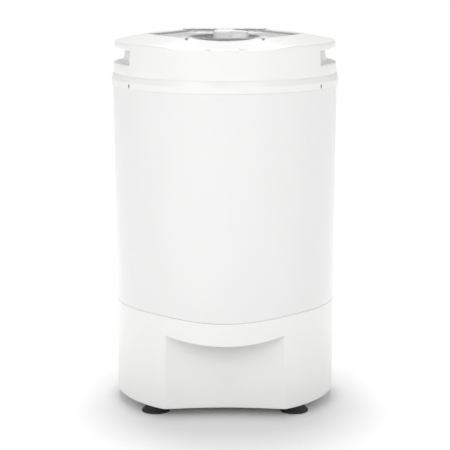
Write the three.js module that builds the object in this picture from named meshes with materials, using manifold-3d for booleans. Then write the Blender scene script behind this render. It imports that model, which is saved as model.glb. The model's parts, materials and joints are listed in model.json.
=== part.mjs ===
// Laundry spin dryer: a round free-standing casing with a smoked lid, a perforated drum and its motor.
// Millimetres, +Z up. The origin is on the floor, on the drum's axis; the front faces -Y.
import * as THREE from "three";
import { mergeVertices } from "three/addons/utils/BufferGeometryUtils.js";
import Module from "manifold-3d";

const wasm = await Module();
wasm.setup();

// ---------------------------------------------------------------- driving sizes

// Casing, from the floor up
const FOOT_HEIGHT = 15;
const BASE_HEIGHT = 150; // base housing, from its underside to the seam
const SHELL_HEIGHT = 339; // plain shell, from the seam to the band
const BAND_HEIGHT = 9.5; // upright face of the band
const BAND_SLOPE = 9; // sloping ledge above the band
const UPPER_HEIGHT = 68.3; // top cover, from the band's lower edge to the deck's rim
const DECK_RISE = 8.7; // deck, from its rim up to the mouth
const SHELL_RADIUS = 175; // outer shell, under the band
const SHELL_DRAFT = 0.6; // how much smaller it is at the seam
const BASE_DRAFT = 1.2; // how much smaller the base is at its underside
const BAND_PROUD = 2.6; // band over shell
const RIM_DRAW = 2.8; // deck rim inside the shell's radius
const CASE_WALL = 2.5;
const BASE_WALL = 3;
const SEAM_DIP = 7.5; // fall of the seam at the front centre
const SEAM_DIP_REACH = THREE.MathUtils.degToRad(45);
const LIP_HEIGHT = 8; // locating lip of the base inside the shell
const SHELL_TUCK = 8.5; // shell inside the band

// Drain bay in the front of the base
const BAY_HALF_WIDTH = 91;
const BAY_SPREAD = 2.7; // extra half width at the bottom
const BAY_LIP_DROP = 43; // middle of its lip under the seam
const BAY_LIP_RISE = 11; // higher at the corners
const BAY_CEILING_DROP = 25; // under the seam
const BAY_DEPTH_LOW = 36; // behind the casing's front, at the bottom
const BAY_DEPTH_HIGH = 61; // behind the casing's front, under the ceiling
const SPOUT_SET_BACK = 40; // drain spout's axis behind the casing's front

// Hand grips in the sides of the top cover
const GRIP_LOW = 35; // above the band's lower edge
const GRIP_HEIGHT = 22;
const GRIP_DEPTH_TOP = 19.5; // in from the shell's radius
const GRIP_DEPTH_BOTTOM = 16;
const GRIP_HALF_ANGLE = THREE.MathUtils.degToRad(33.5);

// Mouth, deck scoop and lid
const MOUTH_APOTHEM = 106; // six-sided mouth, centre to the middle of a side
const MOUTH_DEPTH = 6.3; // down to the ledge that the lid lies on
const MOUTH_LEDGE = 7;
const SCOOP_HALF_WIDTH = 52;
const SCOOP_DEPTH = 4.5;
const NOTCH_DEPTH = 3.6;
const NOTCH_LENGTH = 16;
const LID_GAP = 1; // round the lid
const LID_THICKNESS = 2.6;
const LID_BORDER = 5; // flat border of the lid
const LID_STEP = 1.4; // step down inside the border
const LID_FALL = 1.6; // fall of the facets from the step to the dish
const DISH_RADIUS = 56;
const DISH_STEP = 3.4;
const WELL_RADIUS = 40;
const WELL_DEPTH = 4.5;

// Hinge at the back of the lid
const HINGE_RADIUS = 5.4;
const HINGE_SET_BACK = 8; // axis behind the mouth's rear edge
const HINGE_SINK = 3.5; // axis under the deck
const HINGE_HALF_LENGTH = 68.5;
const HINGE_END_LENGTH = 12.5; // tapered brackets at its two ends
const HINGE_PIN_RADIUS = 1.6;

// Turning grip and latch
const KNOB_RADIUS = 18; // round hub of the grip
const KNOB_POINTER = 37; // from the axis to the tip of its pointer
const KNOB_TIP_WIDTH = 15;
const KNOB_RISE = 6.3; // top of the grip over the deck
const KNOB_TIP_FALL = 2.5;
const FINGER_RADIUS = 16;
const KNOB_REST_ANGLE = THREE.MathUtils.degToRad(-12);
const SPINDLE_RADIUS = 3.4;
const PINION_TEETH = 8;
const TOOTH_DEPTH = 1.8;
const TOOTH_HALF_WIDTH = 0.66; // at the pitch line, with backlash
const TOOTH_FLARE = 0.4; // wider at its root, each side
const TOOTH_TAPER = 0.3; // narrower at its tip, each side
const BOLT_WIDTH = 14;
const BOLT_THICKNESS = 4;
const BOLT_TRAVEL = 8; // in a quarter turn of the grip
const BOLT_HOLD = 5.5; // overlap with the mouth's ledge when locked
const PUSHROD_RADIUS = 2.5;
const PUSHROD_TRAVEL = 3.3;

// Drum and tub
const TUB_SET_IN = 29; // tub inside the shell's radius: room for the interlock and its cable
const DRUM_CLEARANCE = 19; // drum inside the tub's radius: room to sway
const DRUM_TOP_DROP = 21.2; // top of the drum's wall under the tub's edge
const DRUM_WALL = 1.2;
const DRUM_FLOOR_GAP = 19; // over the tub's floor
const DRUM_MOUTH_INSET = 19; // mouth inside the drum's radius
const DRUM_CORNER = 14; // rounding between wall and floor
const DRUM_LAP = 10; // floor's rim up inside the wall
const DRUM_RIM_HEIGHT = 13;
const DRUM_HOLE_RADIUS = 3.5;
const DRUM_HOLES_ROUND = 14;
const DRUM_HOLE_ROWS = 4;
const TUB_WALL = 2.5;
const TUB_SOCKET = 8; // collar on the tub's floor round the foot of its wall
const TUB_TOP_DROP = 26.7; // tub's top edge under the seat of the lid
const TUB_FLANGE = 3.5;
const SEAL_HEIGHT = 3.4;

// Motor, suspension and brake
const MOTOR_RADIUS = 58;
const MOTOR_LEVEL = 36; // underside of the lower end shield
const STATOR_HEIGHT = 44;
const SHIELD_HEIGHT = 18;
const PLATE_THICKNESS = 3;
const SHAFT_RADIUS = 7;
const BEARING_RADIUS = 17.5;
const BEARING_HEIGHT = 11;
const MOUNT_CIRCLE = 105;
const MOUNT_RADIUS = 13;
const MOUNT_HEIGHT = 24;
const MOUNT_BOLT_RADIUS = 3;
const MOUNT_STUD = 12; // stud into the base's post
const BRAKE_RADIUS = 46;
const BRAKE_HEIGHT = 14;
const BRAKE_RUN_GAP = 0.4; // lining to disc with the brake on
const BRAKE_ARM_WIDTH = 6;
const BRAKE_PIVOT_RADIUS = 3;
const CABLE_RADIUS = 2.5;
const WIRE_RADIUS = 0.9;

// Feet
const FOOT_RADIUS = 22;
const FOOT_SET_IN = 27; // foot's axis inside the shell's radius
const FOOT_ANGLE = THREE.MathUtils.degToRad(47);
const SCREW_RADIUS = 2.2;

// Clearances
const SEAT_GAP = 0.3; // two pieces that touch
const RUN_GAP = 0.6; // one piece running past another
const AROUND = 48; // facets round the casing
const INNER = 24; // facets round the tub and the motor
const SMALL = 14; // facets round a small turned piece
const TINY = 8; // facets round a screw
const FLATNESS = 0.004; // faces this flat are one face

// ---------------------------------------------------------------- levels worked out from them

const BASE_LEVEL = FOOT_HEIGHT;
const SEAM_LEVEL = BASE_LEVEL + BASE_HEIGHT;
const BAY_LIP_MIDDLE = BASE_HEIGHT - BAY_LIP_DROP; // above the base's underside
const BAY_CEILING = BASE_HEIGHT - BAY_CEILING_DROP; // above the base's underside
const BAND_LEVEL = SEAM_LEVEL + SHELL_HEIGHT;
const LEDGE_LEVEL = BAND_LEVEL + BAND_HEIGHT;
const WALL_LEVEL = LEDGE_LEVEL + BAND_SLOPE;
const RIM_LEVEL = BAND_LEVEL + UPPER_HEIGHT;
const DECK_LEVEL = RIM_LEVEL + DECK_RISE;
const SEAT_LEVEL = DECK_LEVEL - MOUTH_DEPTH;
const SHELL_TOP = BAND_LEVEL + SHELL_TUCK;
const TUB_TOP_LEVEL = SEAT_LEVEL - TUB_TOP_DROP;
const BAND_RADIUS = SHELL_RADIUS + BAND_PROUD;
const SEAM_RADIUS = SHELL_RADIUS - SHELL_DRAFT;
const BASE_RADIUS = SEAM_RADIUS - BASE_DRAFT;
const RIM_RADIUS = SHELL_RADIUS - RIM_DRAW;
const LIP_RADIUS = SEAM_RADIUS - CASE_WALL - SEAT_GAP;
const TUB_RADIUS = SHELL_RADIUS - TUB_SET_IN;
const DRUM_RADIUS = TUB_RADIUS - DRUM_CLEARANCE;
const DRUM_MOUTH_RADIUS = DRUM_RADIUS - DRUM_MOUTH_INSET;
const FOOT_CIRCLE = SHELL_RADIUS - FOOT_SET_IN;
const TAU = 2 * Math.PI;

// ---------------------------------------------------------------- shapes

// A closed mesh as a solid; a mesh that came out inside out is turned.
function solid(geometry) {
  const bare = geometry.index ? geometry.toNonIndexed() : geometry.clone();
  bare.deleteAttribute("normal");
  bare.deleteAttribute("uv");
  const merged = mergeVertices(bare, 1e-4);
  const corners = [];
  for (let i = 0; i < merged.index.count; i += 3) {
    const [a, b, c] = [0, 1, 2].map((k) => merged.index.getX(i + k));
    if (a !== b && b !== c && c !== a) corners.push(a, b, c);
  }
  const vertProperties = merged.attributes.position.array;
  const build = (triVerts) =>
    new wasm.Manifold(new wasm.Mesh({ numProp: 3, vertProperties, triVerts: new Uint32Array(triVerts) }));
  const made = build(corners);
  if (made.volume() > 0) return made;
  const turned = [];
  for (let i = 0; i < corners.length; i += 3) turned.push(corners[i], corners[i + 2], corners[i + 1]);
  return build(turned);
}

// A solid back as a three.js geometry with flat faces, without the needless edges that cutting leaves.
function geometryOf(made) {
  const mesh = made.asOriginal().simplify(FLATNESS).getMesh();
  const position = new Float32Array(mesh.triVerts.length * 3);
  mesh.triVerts.forEach((corner, i) => {
    for (let k = 0; k < 3; k += 1) position[3 * i + k] = mesh.vertProperties[corner * mesh.numProp + k];
  });
  const geometry = new THREE.BufferGeometry();
  geometry.setAttribute("position", new THREE.BufferAttribute(position, 3));
  geometry.computeVertexNormals();
  return geometry;
}

const union = (...parts) => parts.reduce((a, b) => a.add(b));
const cut = (body, ...tools) => tools.reduce((a, b) => a.subtract(b), body);
const move = (made, x, y, z) => made.translate([x, y, z]);
const turnZ = (made, angle) => made.rotate([0, 0, THREE.MathUtils.radToDeg(angle)]);
const around = (count, make, first = 0) =>
  Array.from({ length: count }, (_, i) => make(first + (i * TAU) / count, i));

// A profile of [radius, height] points turned about Z. A profile off the axis closes on itself.
function revolve(profile, facets = AROUND, bend = null) {
  const onAxis = profile[0][0] === 0 && profile[profile.length - 1][0] === 0;
  const points = (onAxis ? profile : [...profile, profile[0]]).map(([r, z]) => new THREE.Vector2(r, z));
  const geometry = new THREE.LatheGeometry(points, facets).rotateX(Math.PI / 2);
  if (bend) bendHeights(geometry, bend);
  return solid(geometry);
}

function bendHeights(geometry, bend) {
  const position = geometry.attributes.position;
  for (let i = 0; i < position.count; i += 1) {
    const [x, y, z] = [position.getX(i), position.getY(i), position.getZ(i)];
    position.setZ(i, z + bend(x, y, z));
  }
}

const rod = (radius, low, high, facets = SMALL) =>
  revolve([[0, low], [radius, low], [radius, high], [0, high]], facets);

const ring = (outer, inner, low, high, facets = AROUND) =>
  revolve([[inner, low], [outer, low], [outer, high], [inner, high]], facets);

// A rod between two points, whichever way it lies.
function rodBetween(from, to, radius, facets = SMALL) {
  const way = to.clone().sub(from);
  const geometry = new THREE.CylinderGeometry(radius, radius, way.length(), facets);
  const turn = new THREE.Quaternion().setFromUnitVectors(new THREE.Vector3(0, 1, 0), way.normalize());
  geometry.applyQuaternion(turn);
  const middle = from.clone().add(to).multiplyScalar(0.5);
  return solid(geometry.translate(middle.x, middle.y, middle.z));
}

function block([x0, x1], [y0, y1], [z0, z1]) {
  const geometry = new THREE.BoxGeometry(x1 - x0, y1 - y0, z1 - z0);
  return solid(geometry.translate((x0 + x1) / 2, (y0 + y1) / 2, (z0 + z1) / 2));
}

const prism = (outline, low, high) => {
  const geometry = new THREE.ExtrudeGeometry(outline, { depth: high - low, bevelEnabled: false });
  return solid(geometry.translate(0, 0, low));
};

const polygon = (points) => new THREE.Shape(points.map(([x, y]) => new THREE.Vector2(x, y)));

// A round tube along a curve.
function tube(curve, radius, steps, sides = 10) {
  const section = polygon(around(sides, (a) => [radius * Math.cos(a), radius * Math.sin(a)]));
  return solid(new THREE.ExtrudeGeometry(section, { steps, extrudePath: curve, bevelEnabled: false }));
}

// The solid between two grids of points with the same rows and columns.
function slab(front, back) {
  const rows = front.length - 1;
  const columns = front[0].length - 1;
  const points = [];
  const quad = (a, b, c, d) => points.push(a, b, c, a, c, d);
  for (let j = 0; j < rows; j += 1)
    for (let i = 0; i < columns; i += 1) {
      quad(front[j][i], front[j][i + 1], front[j + 1][i + 1], front[j + 1][i]);
      quad(back[j][i], back[j + 1][i], back[j + 1][i + 1], back[j][i + 1]);
    }
  for (let i = 0; i < columns; i += 1) {
    quad(front[0][i], back[0][i], back[0][i + 1], front[0][i + 1]);
    quad(front[rows][i], front[rows][i + 1], back[rows][i + 1], back[rows][i]);
  }
  for (let j = 0; j < rows; j += 1) {
    quad(front[j][0], front[j + 1][0], back[j + 1][0], back[j][0]);
    quad(front[j][columns], back[j][columns], back[j + 1][columns], front[j + 1][columns]);
  }
  return solid(new THREE.BufferGeometry().setFromPoints(points));
}

// A closed ring of loops about Z. Each loop gives its radius and height at an angle.
function loopLoft(loops, count = AROUND) {
  const rings = loops.map((loop) =>
    around(count, (angle) => {
      const [radius, height] = loop(angle);
      return new THREE.Vector3(radius * Math.cos(angle), radius * Math.sin(angle), height);
    }),
  );
  const points = [];
  rings.forEach((low, j) => {
    const high = rings[(j + 1) % rings.length];
    for (let i = 0; i < count; i += 1) {
      const next = (i + 1) % count;
      points.push(low[i], low[next], high[next], low[i], high[next], high[i]);
    }
  });
  return solid(new THREE.BufferGeometry().setFromPoints(points));
}

const circleLoop = (radius, height) => () => [radius, height];

// A hexagon with two corners on the X axis, as wide as apothem from its middle to each side.
const hexRadius = (apothem, angle) => {
  const side = Math.PI / 3;
  const within = ((angle % side) + side) % side;
  return apothem / Math.cos(within - side / 2);
};
const hexLoop = (apothem, height) => (angle) => [hexRadius(apothem, angle), height];

// ---------------------------------------------------------------- materials

const finish = (color, roughness, metalness = 0, more = {}) =>
  new THREE.MeshStandardMaterial({ color, roughness, metalness, ...more });

const WHITE = finish(0xf3f2ef, 0.35);
const SMOKED = finish(0xa9adb0, 0.2, 0, { transparent: true, opacity: 0.6 });
const INNER_WHITE = finish(0xe6e6e2, 0.5);
const RUBBER = finish(0x1d1d1f, 0.85);
const STEEL = finish(0xc4c6c8, 0.28, 1);
const ZINC = finish(0xb4b3ad, 0.4, 1);
const CAST = finish(0x9b9ea0, 0.55, 1);
const IRON = finish(0x55585b, 0.5, 1);
const COPPER = finish(0xb0643a, 0.35, 1);
const BLACK = finish(0x26272a, 0.5);
const GREY = finish(0x8d9093, 0.5);
const LINING = finish(0x4a423b, 0.9);

const spinDryer = new THREE.Group();

// Each piece is a mesh of its own in the group.
function piece(name, made, material) {
  const mesh = new THREE.Mesh(geometryOf(made), material);
  mesh.name = name;
  spinDryer.add(mesh);
}

// ---------------------------------------------------------------- base housing

// The seam between base and shell falls towards the front.
function seamFall(x, y) {
  const fromFront = Math.abs(Math.atan2(x, -y));
  if (fromFront > SEAM_DIP_REACH) return 0;
  return (-SEAM_DIP * (1 + Math.cos((Math.PI * fromFront) / SEAM_DIP_REACH))) / 2;
}
const atSeam = (x, y, z) => (Math.abs(z - SEAM_LEVEL) < LIP_HEIGHT / 2 ? seamFall(x, y) : 0);

const BAY_LEVELS = [-0.1, 0.25, 0.6, 1];
const BAY_COLUMNS = 8;

// Where the scoop's back wall lies at a height over the base's underside: hollow across and leaning in.
function bayBack(x, rise, halfWidth, grow) {
  const share = THREE.MathUtils.clamp(rise / BAY_CEILING, 0, 1);
  const depth = BAY_DEPTH_LOW + (BAY_DEPTH_HIGH - BAY_DEPTH_LOW) * share ** 1.5;
  const edge = Math.sqrt(BASE_RADIUS ** 2 - BAY_HALF_WIDTH ** 2);
  const middle = BASE_RADIUS - depth;
  return -(edge - (edge - middle) * Math.cos(((x / halfWidth) * Math.PI) / 2)) + grow;
}

// The space of the scoop between two heights. Its ceiling may be arched; grow makes it larger all round.
function bayTool(front, top, narrower, grow) {
  const across = Array.from({ length: BAY_COLUMNS + 1 }, (_, i) => (2 * i) / BAY_COLUMNS - 1);
  const grid = (depthAt) =>
    BAY_LEVELS.map((level) =>
      across.map((share) => {
        const spread = BAY_SPREAD * (1 - THREE.MathUtils.clamp(level, 0, 1));
        const halfWidth = BAY_HALF_WIDTH + spread - narrower + grow;
        const x = share * halfWidth;
        const rise = level * (top(share) + grow);
        return new THREE.Vector3(x, depthAt(x, rise, halfWidth + narrower), BASE_LEVEL + rise);
      }),
    );
  return slab(grid(front), grid((x, rise, halfWidth) => bayBack(x, rise, halfWidth, grow)));
}

const archedLip = (share) => BAY_LIP_MIDDLE + BAY_LIP_RISE * share ** 2;
const flatCeiling = () => BAY_CEILING;
const POCKET_NARROWER = 14;
const BAY_FRONT = -(BASE_RADIUS + 4 * BASE_WALL);
const behindLip = (x) => -Math.sqrt((BASE_RADIUS - BASE_WALL) ** 2 - x ** 2);

const footPlaces = [
  ["front_left", -1, -1],
  ["front_right", 1, -1],
  ["rear_left", -1, 1],
  ["rear_right", 1, 1],
].map(([name, sideX, sideY]) => ({
  name,
  x: sideX * FOOT_CIRCLE * Math.sin(FOOT_ANGLE),
  y: sideY * FOOT_CIRCLE * Math.cos(FOOT_ANGLE),
}));

const mountPlace = (angle) => ({ x: MOUNT_CIRCLE * Math.cos(angle), y: MOUNT_CIRCLE * Math.sin(angle) });
const mountPlaces = around(3, mountPlace, Math.PI / 2);

const FLOOR_TOP = BASE_LEVEL + BASE_WALL;
const PLATE_LEVEL = MOTOR_LEVEL + SHIELD_HEIGHT + STATOR_HEIGHT + SHIELD_HEIGHT + SEAT_GAP * 3;
const POST_TOP = PLATE_LEVEL - MOUNT_HEIGHT - 2 * SEAT_GAP;
const POST_RADIUS = MOUNT_RADIUS - 1;
const BOSS_RADIUS = 7;
const BOSS_HEIGHT = 16;
const VENT_RADIUS = 70;
const SPOUT_Y = -(BASE_RADIUS - SPOUT_SET_BACK);
const SPOUT_RADIUS = 11;
const SPOUT_WALL = 2;
const BAY_CEILING_LEVEL = BASE_LEVEL + BAY_CEILING;
const GLAND_RISE = 30;
const GLAND_RADIUS = 7;
const GLAND_LEVEL = BASE_LEVEL + GLAND_RISE;

function baseHousing() {
  const corner = 3;
  const outer = revolve(
    [
      [0, BASE_LEVEL],
      [BASE_RADIUS - corner, BASE_LEVEL],
      [BASE_RADIUS - corner * 0.3, BASE_LEVEL + corner * 0.3],
      [BASE_RADIUS, BASE_LEVEL + corner],
      [SEAM_RADIUS, SEAM_LEVEL - SEAT_GAP],
      [LIP_RADIUS, SEAM_LEVEL - SEAT_GAP],
      [LIP_RADIUS, SEAM_LEVEL + LIP_HEIGHT],
      [0, SEAM_LEVEL + LIP_HEIGHT],
    ],
    AROUND,
    atSeam,
  );
  const cavity = revolve([
    [0, FLOOR_TOP],
    [BASE_RADIUS - BASE_WALL, FLOOR_TOP],
    [LIP_RADIUS - CASE_WALL, SEAM_LEVEL - 4 * BASE_WALL],
    [LIP_RADIUS - CASE_WALL, SEAM_LEVEL + 2 * LIP_HEIGHT],
    [0, SEAM_LEVEL + 2 * LIP_HEIGHT],
  ]);
  const scoop = bayTool(() => BAY_FRONT, archedLip, 0, 0);
  const pocket = bayTool(behindLip, flatCeiling, POCKET_NARROWER, 0);
  const scoopWall = bayTool(() => BAY_FRONT, archedLip, 0, BASE_WALL);
  const pocketWall = bayTool(behindLip, flatCeiling, POCKET_NARROWER, BASE_WALL);
  const skin = cut(outer, scoop, pocket);
  const inside = cut(cavity, scoopWall, pocketWall);
  const posts = mountPlaces.map(({ x, y }) => move(rod(POST_RADIUS, FLOOR_TOP - 1, POST_TOP), x, y, 0));
  const bosses = footPlaces.map(({ x, y }) =>
    move(rod(BOSS_RADIUS, FLOOR_TOP - 1, BASE_LEVEL + BOSS_HEIGHT), x, y, 0),
  );
  const boltHoles = mountPlaces.map(({ x, y }) =>
    move(rod(MOUNT_BOLT_RADIUS + SEAT_GAP, POST_TOP - MOUNT_STUD - 2, POST_TOP + 1, TINY), x, y, 0),
  );
  const screwHoles = footPlaces.map(({ x, y }) =>
    move(rod(SCREW_RADIUS + SEAT_GAP, BASE_LEVEL - 1, BASE_LEVEL + BOSS_HEIGHT - 2, TINY), x, y, 0),
  );
  const spoutHole = rod(SPOUT_RADIUS + SEAT_GAP, BAY_CEILING_LEVEL - 2, BAY_CEILING_LEVEL + 2 * BASE_WALL);
  return cut(
    union(cut(skin, inside), ...posts, ...bosses),
    ...boltHoles,
    ...screwHoles,
    rod(VENT_RADIUS, BASE_LEVEL - 1, FLOOR_TOP + 1, INNER),
    move(spoutHole, 0, SPOUT_Y, 0),
    rodBetween(
      new THREE.Vector3(0, BASE_RADIUS - 3 * BASE_WALL, GLAND_LEVEL),
      new THREE.Vector3(0, BASE_RADIUS + BASE_WALL, GLAND_LEVEL),
      GLAND_RADIUS + SEAT_GAP,
    ),
  );
}

// A vented disc under the opening in the base's floor, held up by a lip that passes into it.
function bottomCover() {
  const lip = 6;
  const disc = revolve(
    [
      [0, BASE_LEVEL - SEAT_GAP - CASE_WALL],
      [VENT_RADIUS + lip, BASE_LEVEL - SEAT_GAP - CASE_WALL],
      [VENT_RADIUS + lip, BASE_LEVEL - SEAT_GAP],
      [VENT_RADIUS - SEAT_GAP, BASE_LEVEL - SEAT_GAP],
      [VENT_RADIUS - SEAT_GAP, FLOOR_TOP],
      [VENT_RADIUS - SEAT_GAP - CASE_WALL, FLOOR_TOP],
      [VENT_RADIUS - SEAT_GAP - CASE_WALL, BASE_LEVEL - SEAT_GAP],
      [0, BASE_LEVEL - SEAT_GAP],
    ],
    INNER,
  );
  const slot = (angle, low, high) =>
    turnZ(block([low, high], [-2.5, 2.5], [BASE_LEVEL - 3 * BASE_WALL, FLOOR_TOP]), angle);
  return cut(
    disc,
    ...around(8, (a) => slot(a, VENT_RADIUS * 0.3, VENT_RADIUS * 0.85)),
  );
}

const FOOT_BORE = SCREW_RADIUS + SEAT_GAP;
const HEAD_RADIUS = 2.3 * SCREW_RADIUS;
const HEAD_SINK = 6;

function foot() {
  const top = BASE_LEVEL - SEAT_GAP;
  return revolve(
    [
      [HEAD_RADIUS + 1, 0],
      [FOOT_RADIUS, 0],
      [FOOT_RADIUS, 2],
      [FOOT_RADIUS * 0.78, top * 0.45],
      [FOOT_RADIUS * 0.68, top * 0.8],
      [FOOT_RADIUS * 0.66, top],
      [FOOT_BORE, top],
      [FOOT_BORE, HEAD_SINK],
      [HEAD_RADIUS + 1, HEAD_SINK],
    ],
    SMALL,
  );
}

const footScrew = () =>
  revolve(
    [
      [0, HEAD_SINK - SEAT_GAP - 2.5],
      [HEAD_RADIUS, HEAD_SINK - SEAT_GAP - 2.5],
      [HEAD_RADIUS, HEAD_SINK - SEAT_GAP],
      [SCREW_RADIUS, HEAD_SINK - SEAT_GAP],
      [SCREW_RADIUS, BASE_LEVEL + BOSS_HEIGHT - 4],
      [0, BASE_LEVEL + BOSS_HEIGHT - 3],
    ],
    TINY,
  );

function cordGland() {
  const inner = BASE_RADIUS - BASE_WALL - 5;
  const flange = 3;
  const bore = 3.4;
  const outline = [
    [bore, 0],
    [GLAND_RADIUS, 0],
    [GLAND_RADIUS, BASE_RADIUS - inner + SEAT_GAP],
    [GLAND_RADIUS + flange, BASE_RADIUS - inner + SEAT_GAP],
    [GLAND_RADIUS + flange * 0.4, BASE_RADIUS - inner + flange],
    [bore, BASE_RADIUS - inner + flange],
  ];
  return move(revolve(outline, SMALL).rotate([-90, 0, 0]), 0, inner, GLAND_LEVEL);
}

piece("base_housing", baseHousing(), WHITE);
piece("bottom_cover", bottomCover(), GREY);
footPlaces.forEach(({ name, x, y }) => piece(`foot_${name}`, move(foot(), x, y, 0), RUBBER));
footPlaces.forEach(({ name, x, y }) => piece(`foot_screw_${name}`, move(footScrew(), x, y, 0), ZINC));
piece("cord_gland", cordGland(), BLACK);

// ---------------------------------------------------------------- outer shell and top cover

const SCOOP_FADE = THREE.MathUtils.degToRad(42);
const TOP_WALL = 2.8;
const WALL_TOP_RADIUS = RIM_RADIUS + 0.4;
const COLLAR_RADIUS = TUB_RADIUS + 0.5;
const SEAL_LEVEL = TUB_TOP_LEVEL + SEAT_GAP;
const COLLAR_LEVEL = SEAL_LEVEL + SEAL_HEIGHT + SEAT_GAP;
const MOUTH_CORNER = hexRadius(MOUTH_APOTHEM, 0);
const HINGE_Y = MOUTH_APOTHEM + HINGE_SET_BACK;
const HINGE_LEVEL = DECK_LEVEL - HINGE_SINK;
const SCREW_DEGREES = [54.8, 125.2]; // from the front, on each side
const SCREW_ANGLES = [...SCREW_DEGREES.map((a) => -a), ...SCREW_DEGREES].map(THREE.MathUtils.degToRad);
const BAND_SCREW_LEVEL = BAND_LEVEL + BAND_HEIGHT * 0.45;
const BAND_SCREW_RADIUS = 1.6;
const SWITCH_INNER = COLLAR_RADIUS + SEAT_GAP;
const SWITCH_SPAN = [-14, 24]; // left of the pushrod and right of it
const SWITCH_REACH = WALL_TOP_RADIUS - TOP_WALL - 4 * RUN_GAP; // radius of its outer corner
const SWITCH_OUTER = Math.sqrt(SWITCH_REACH ** 2 - SWITCH_SPAN[1] ** 2);
const SWITCH_LOW = COLLAR_LEVEL + SEAT_GAP;
const SWITCH_TOP = SWITCH_LOW + 11;
const PUSH_LEVEL = SWITCH_TOP - PUSHROD_RADIUS - 0.5;

// The deck is lowered at the front: a shallow scoop at the mouth that widens into a lower rim.
function scoopFall(x, y, z) {
  const radius = Math.hypot(x, y);
  if (y > 0 || z < RIM_LEVEL - 2 * SCOOP_DEPTH || radius < MOUTH_APOTHEM - 0.5) return 0;
  const outward = THREE.MathUtils.clamp((radius - MOUTH_CORNER) / (RIM_RADIUS - MOUTH_CORNER), 0, 1);
  const bowl = Math.max(0, 1 - (x / SCOOP_HALF_WIDTH) ** 2);
  const angle = Math.abs(Math.atan2(x, -y));
  const creaseAngle = Math.asin(SCOOP_HALF_WIDTH / RIM_RADIUS);
  const fade = THREE.MathUtils.clamp((SCOOP_FADE - angle) / (SCOOP_FADE - creaseAngle), 0, 1);
  return -SCOOP_DEPTH * (bowl * (1 - outward) + fade * fade * (3 - 2 * fade) * outward);
}

const gripSide = (side) => (side > 0 ? 0 : Math.PI);

// The space of one hand grip, or the walls round it when grow is the wall's thickness.
function gripTool(side, grow) {
  const columns = 14;
  const halfAngle = GRIP_HALF_ANGLE + grow / SHELL_RADIUS;
  const low = BAND_LEVEL + GRIP_LOW - grow;
  const high = low + GRIP_HEIGHT + 2 * grow;
  const grid = (lowRadius, highRadius) =>
    [[low, lowRadius], [high, highRadius]].map(([z, radius]) =>
      Array.from({ length: columns + 1 }, (_, i) => {
        const angle = gripSide(side) + halfAngle * ((2 * i) / columns - 1);
        return new THREE.Vector3(radius * Math.cos(angle), radius * Math.sin(angle), z);
      }),
    );
  const far = BAND_RADIUS + 10;
  const innerLow = SHELL_RADIUS - GRIP_DEPTH_BOTTOM - grow;
  const innerHigh = SHELL_RADIUS - GRIP_DEPTH_TOP - grow;
  return slab(grid(far, far), grid(innerLow, innerHigh));
}

const outerProfile = [
  [BAND_RADIUS, BAND_LEVEL],
  [BAND_RADIUS, LEDGE_LEVEL],
  [SHELL_RADIUS + 0.3, WALL_LEVEL - 1],
  [SHELL_RADIUS - 0.4, WALL_LEVEL],
  [WALL_TOP_RADIUS, RIM_LEVEL - 5],
  [RIM_RADIUS - 0.4, RIM_LEVEL - 1.6],
  [RIM_RADIUS - 2.8, RIM_LEVEL],
];
const deckAt = (radius) =>
  DECK_LEVEL - (DECK_RISE * (radius - MOUTH_CORNER - 1)) / (RIM_RADIUS - 2.8 - MOUTH_CORNER - 1);

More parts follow.
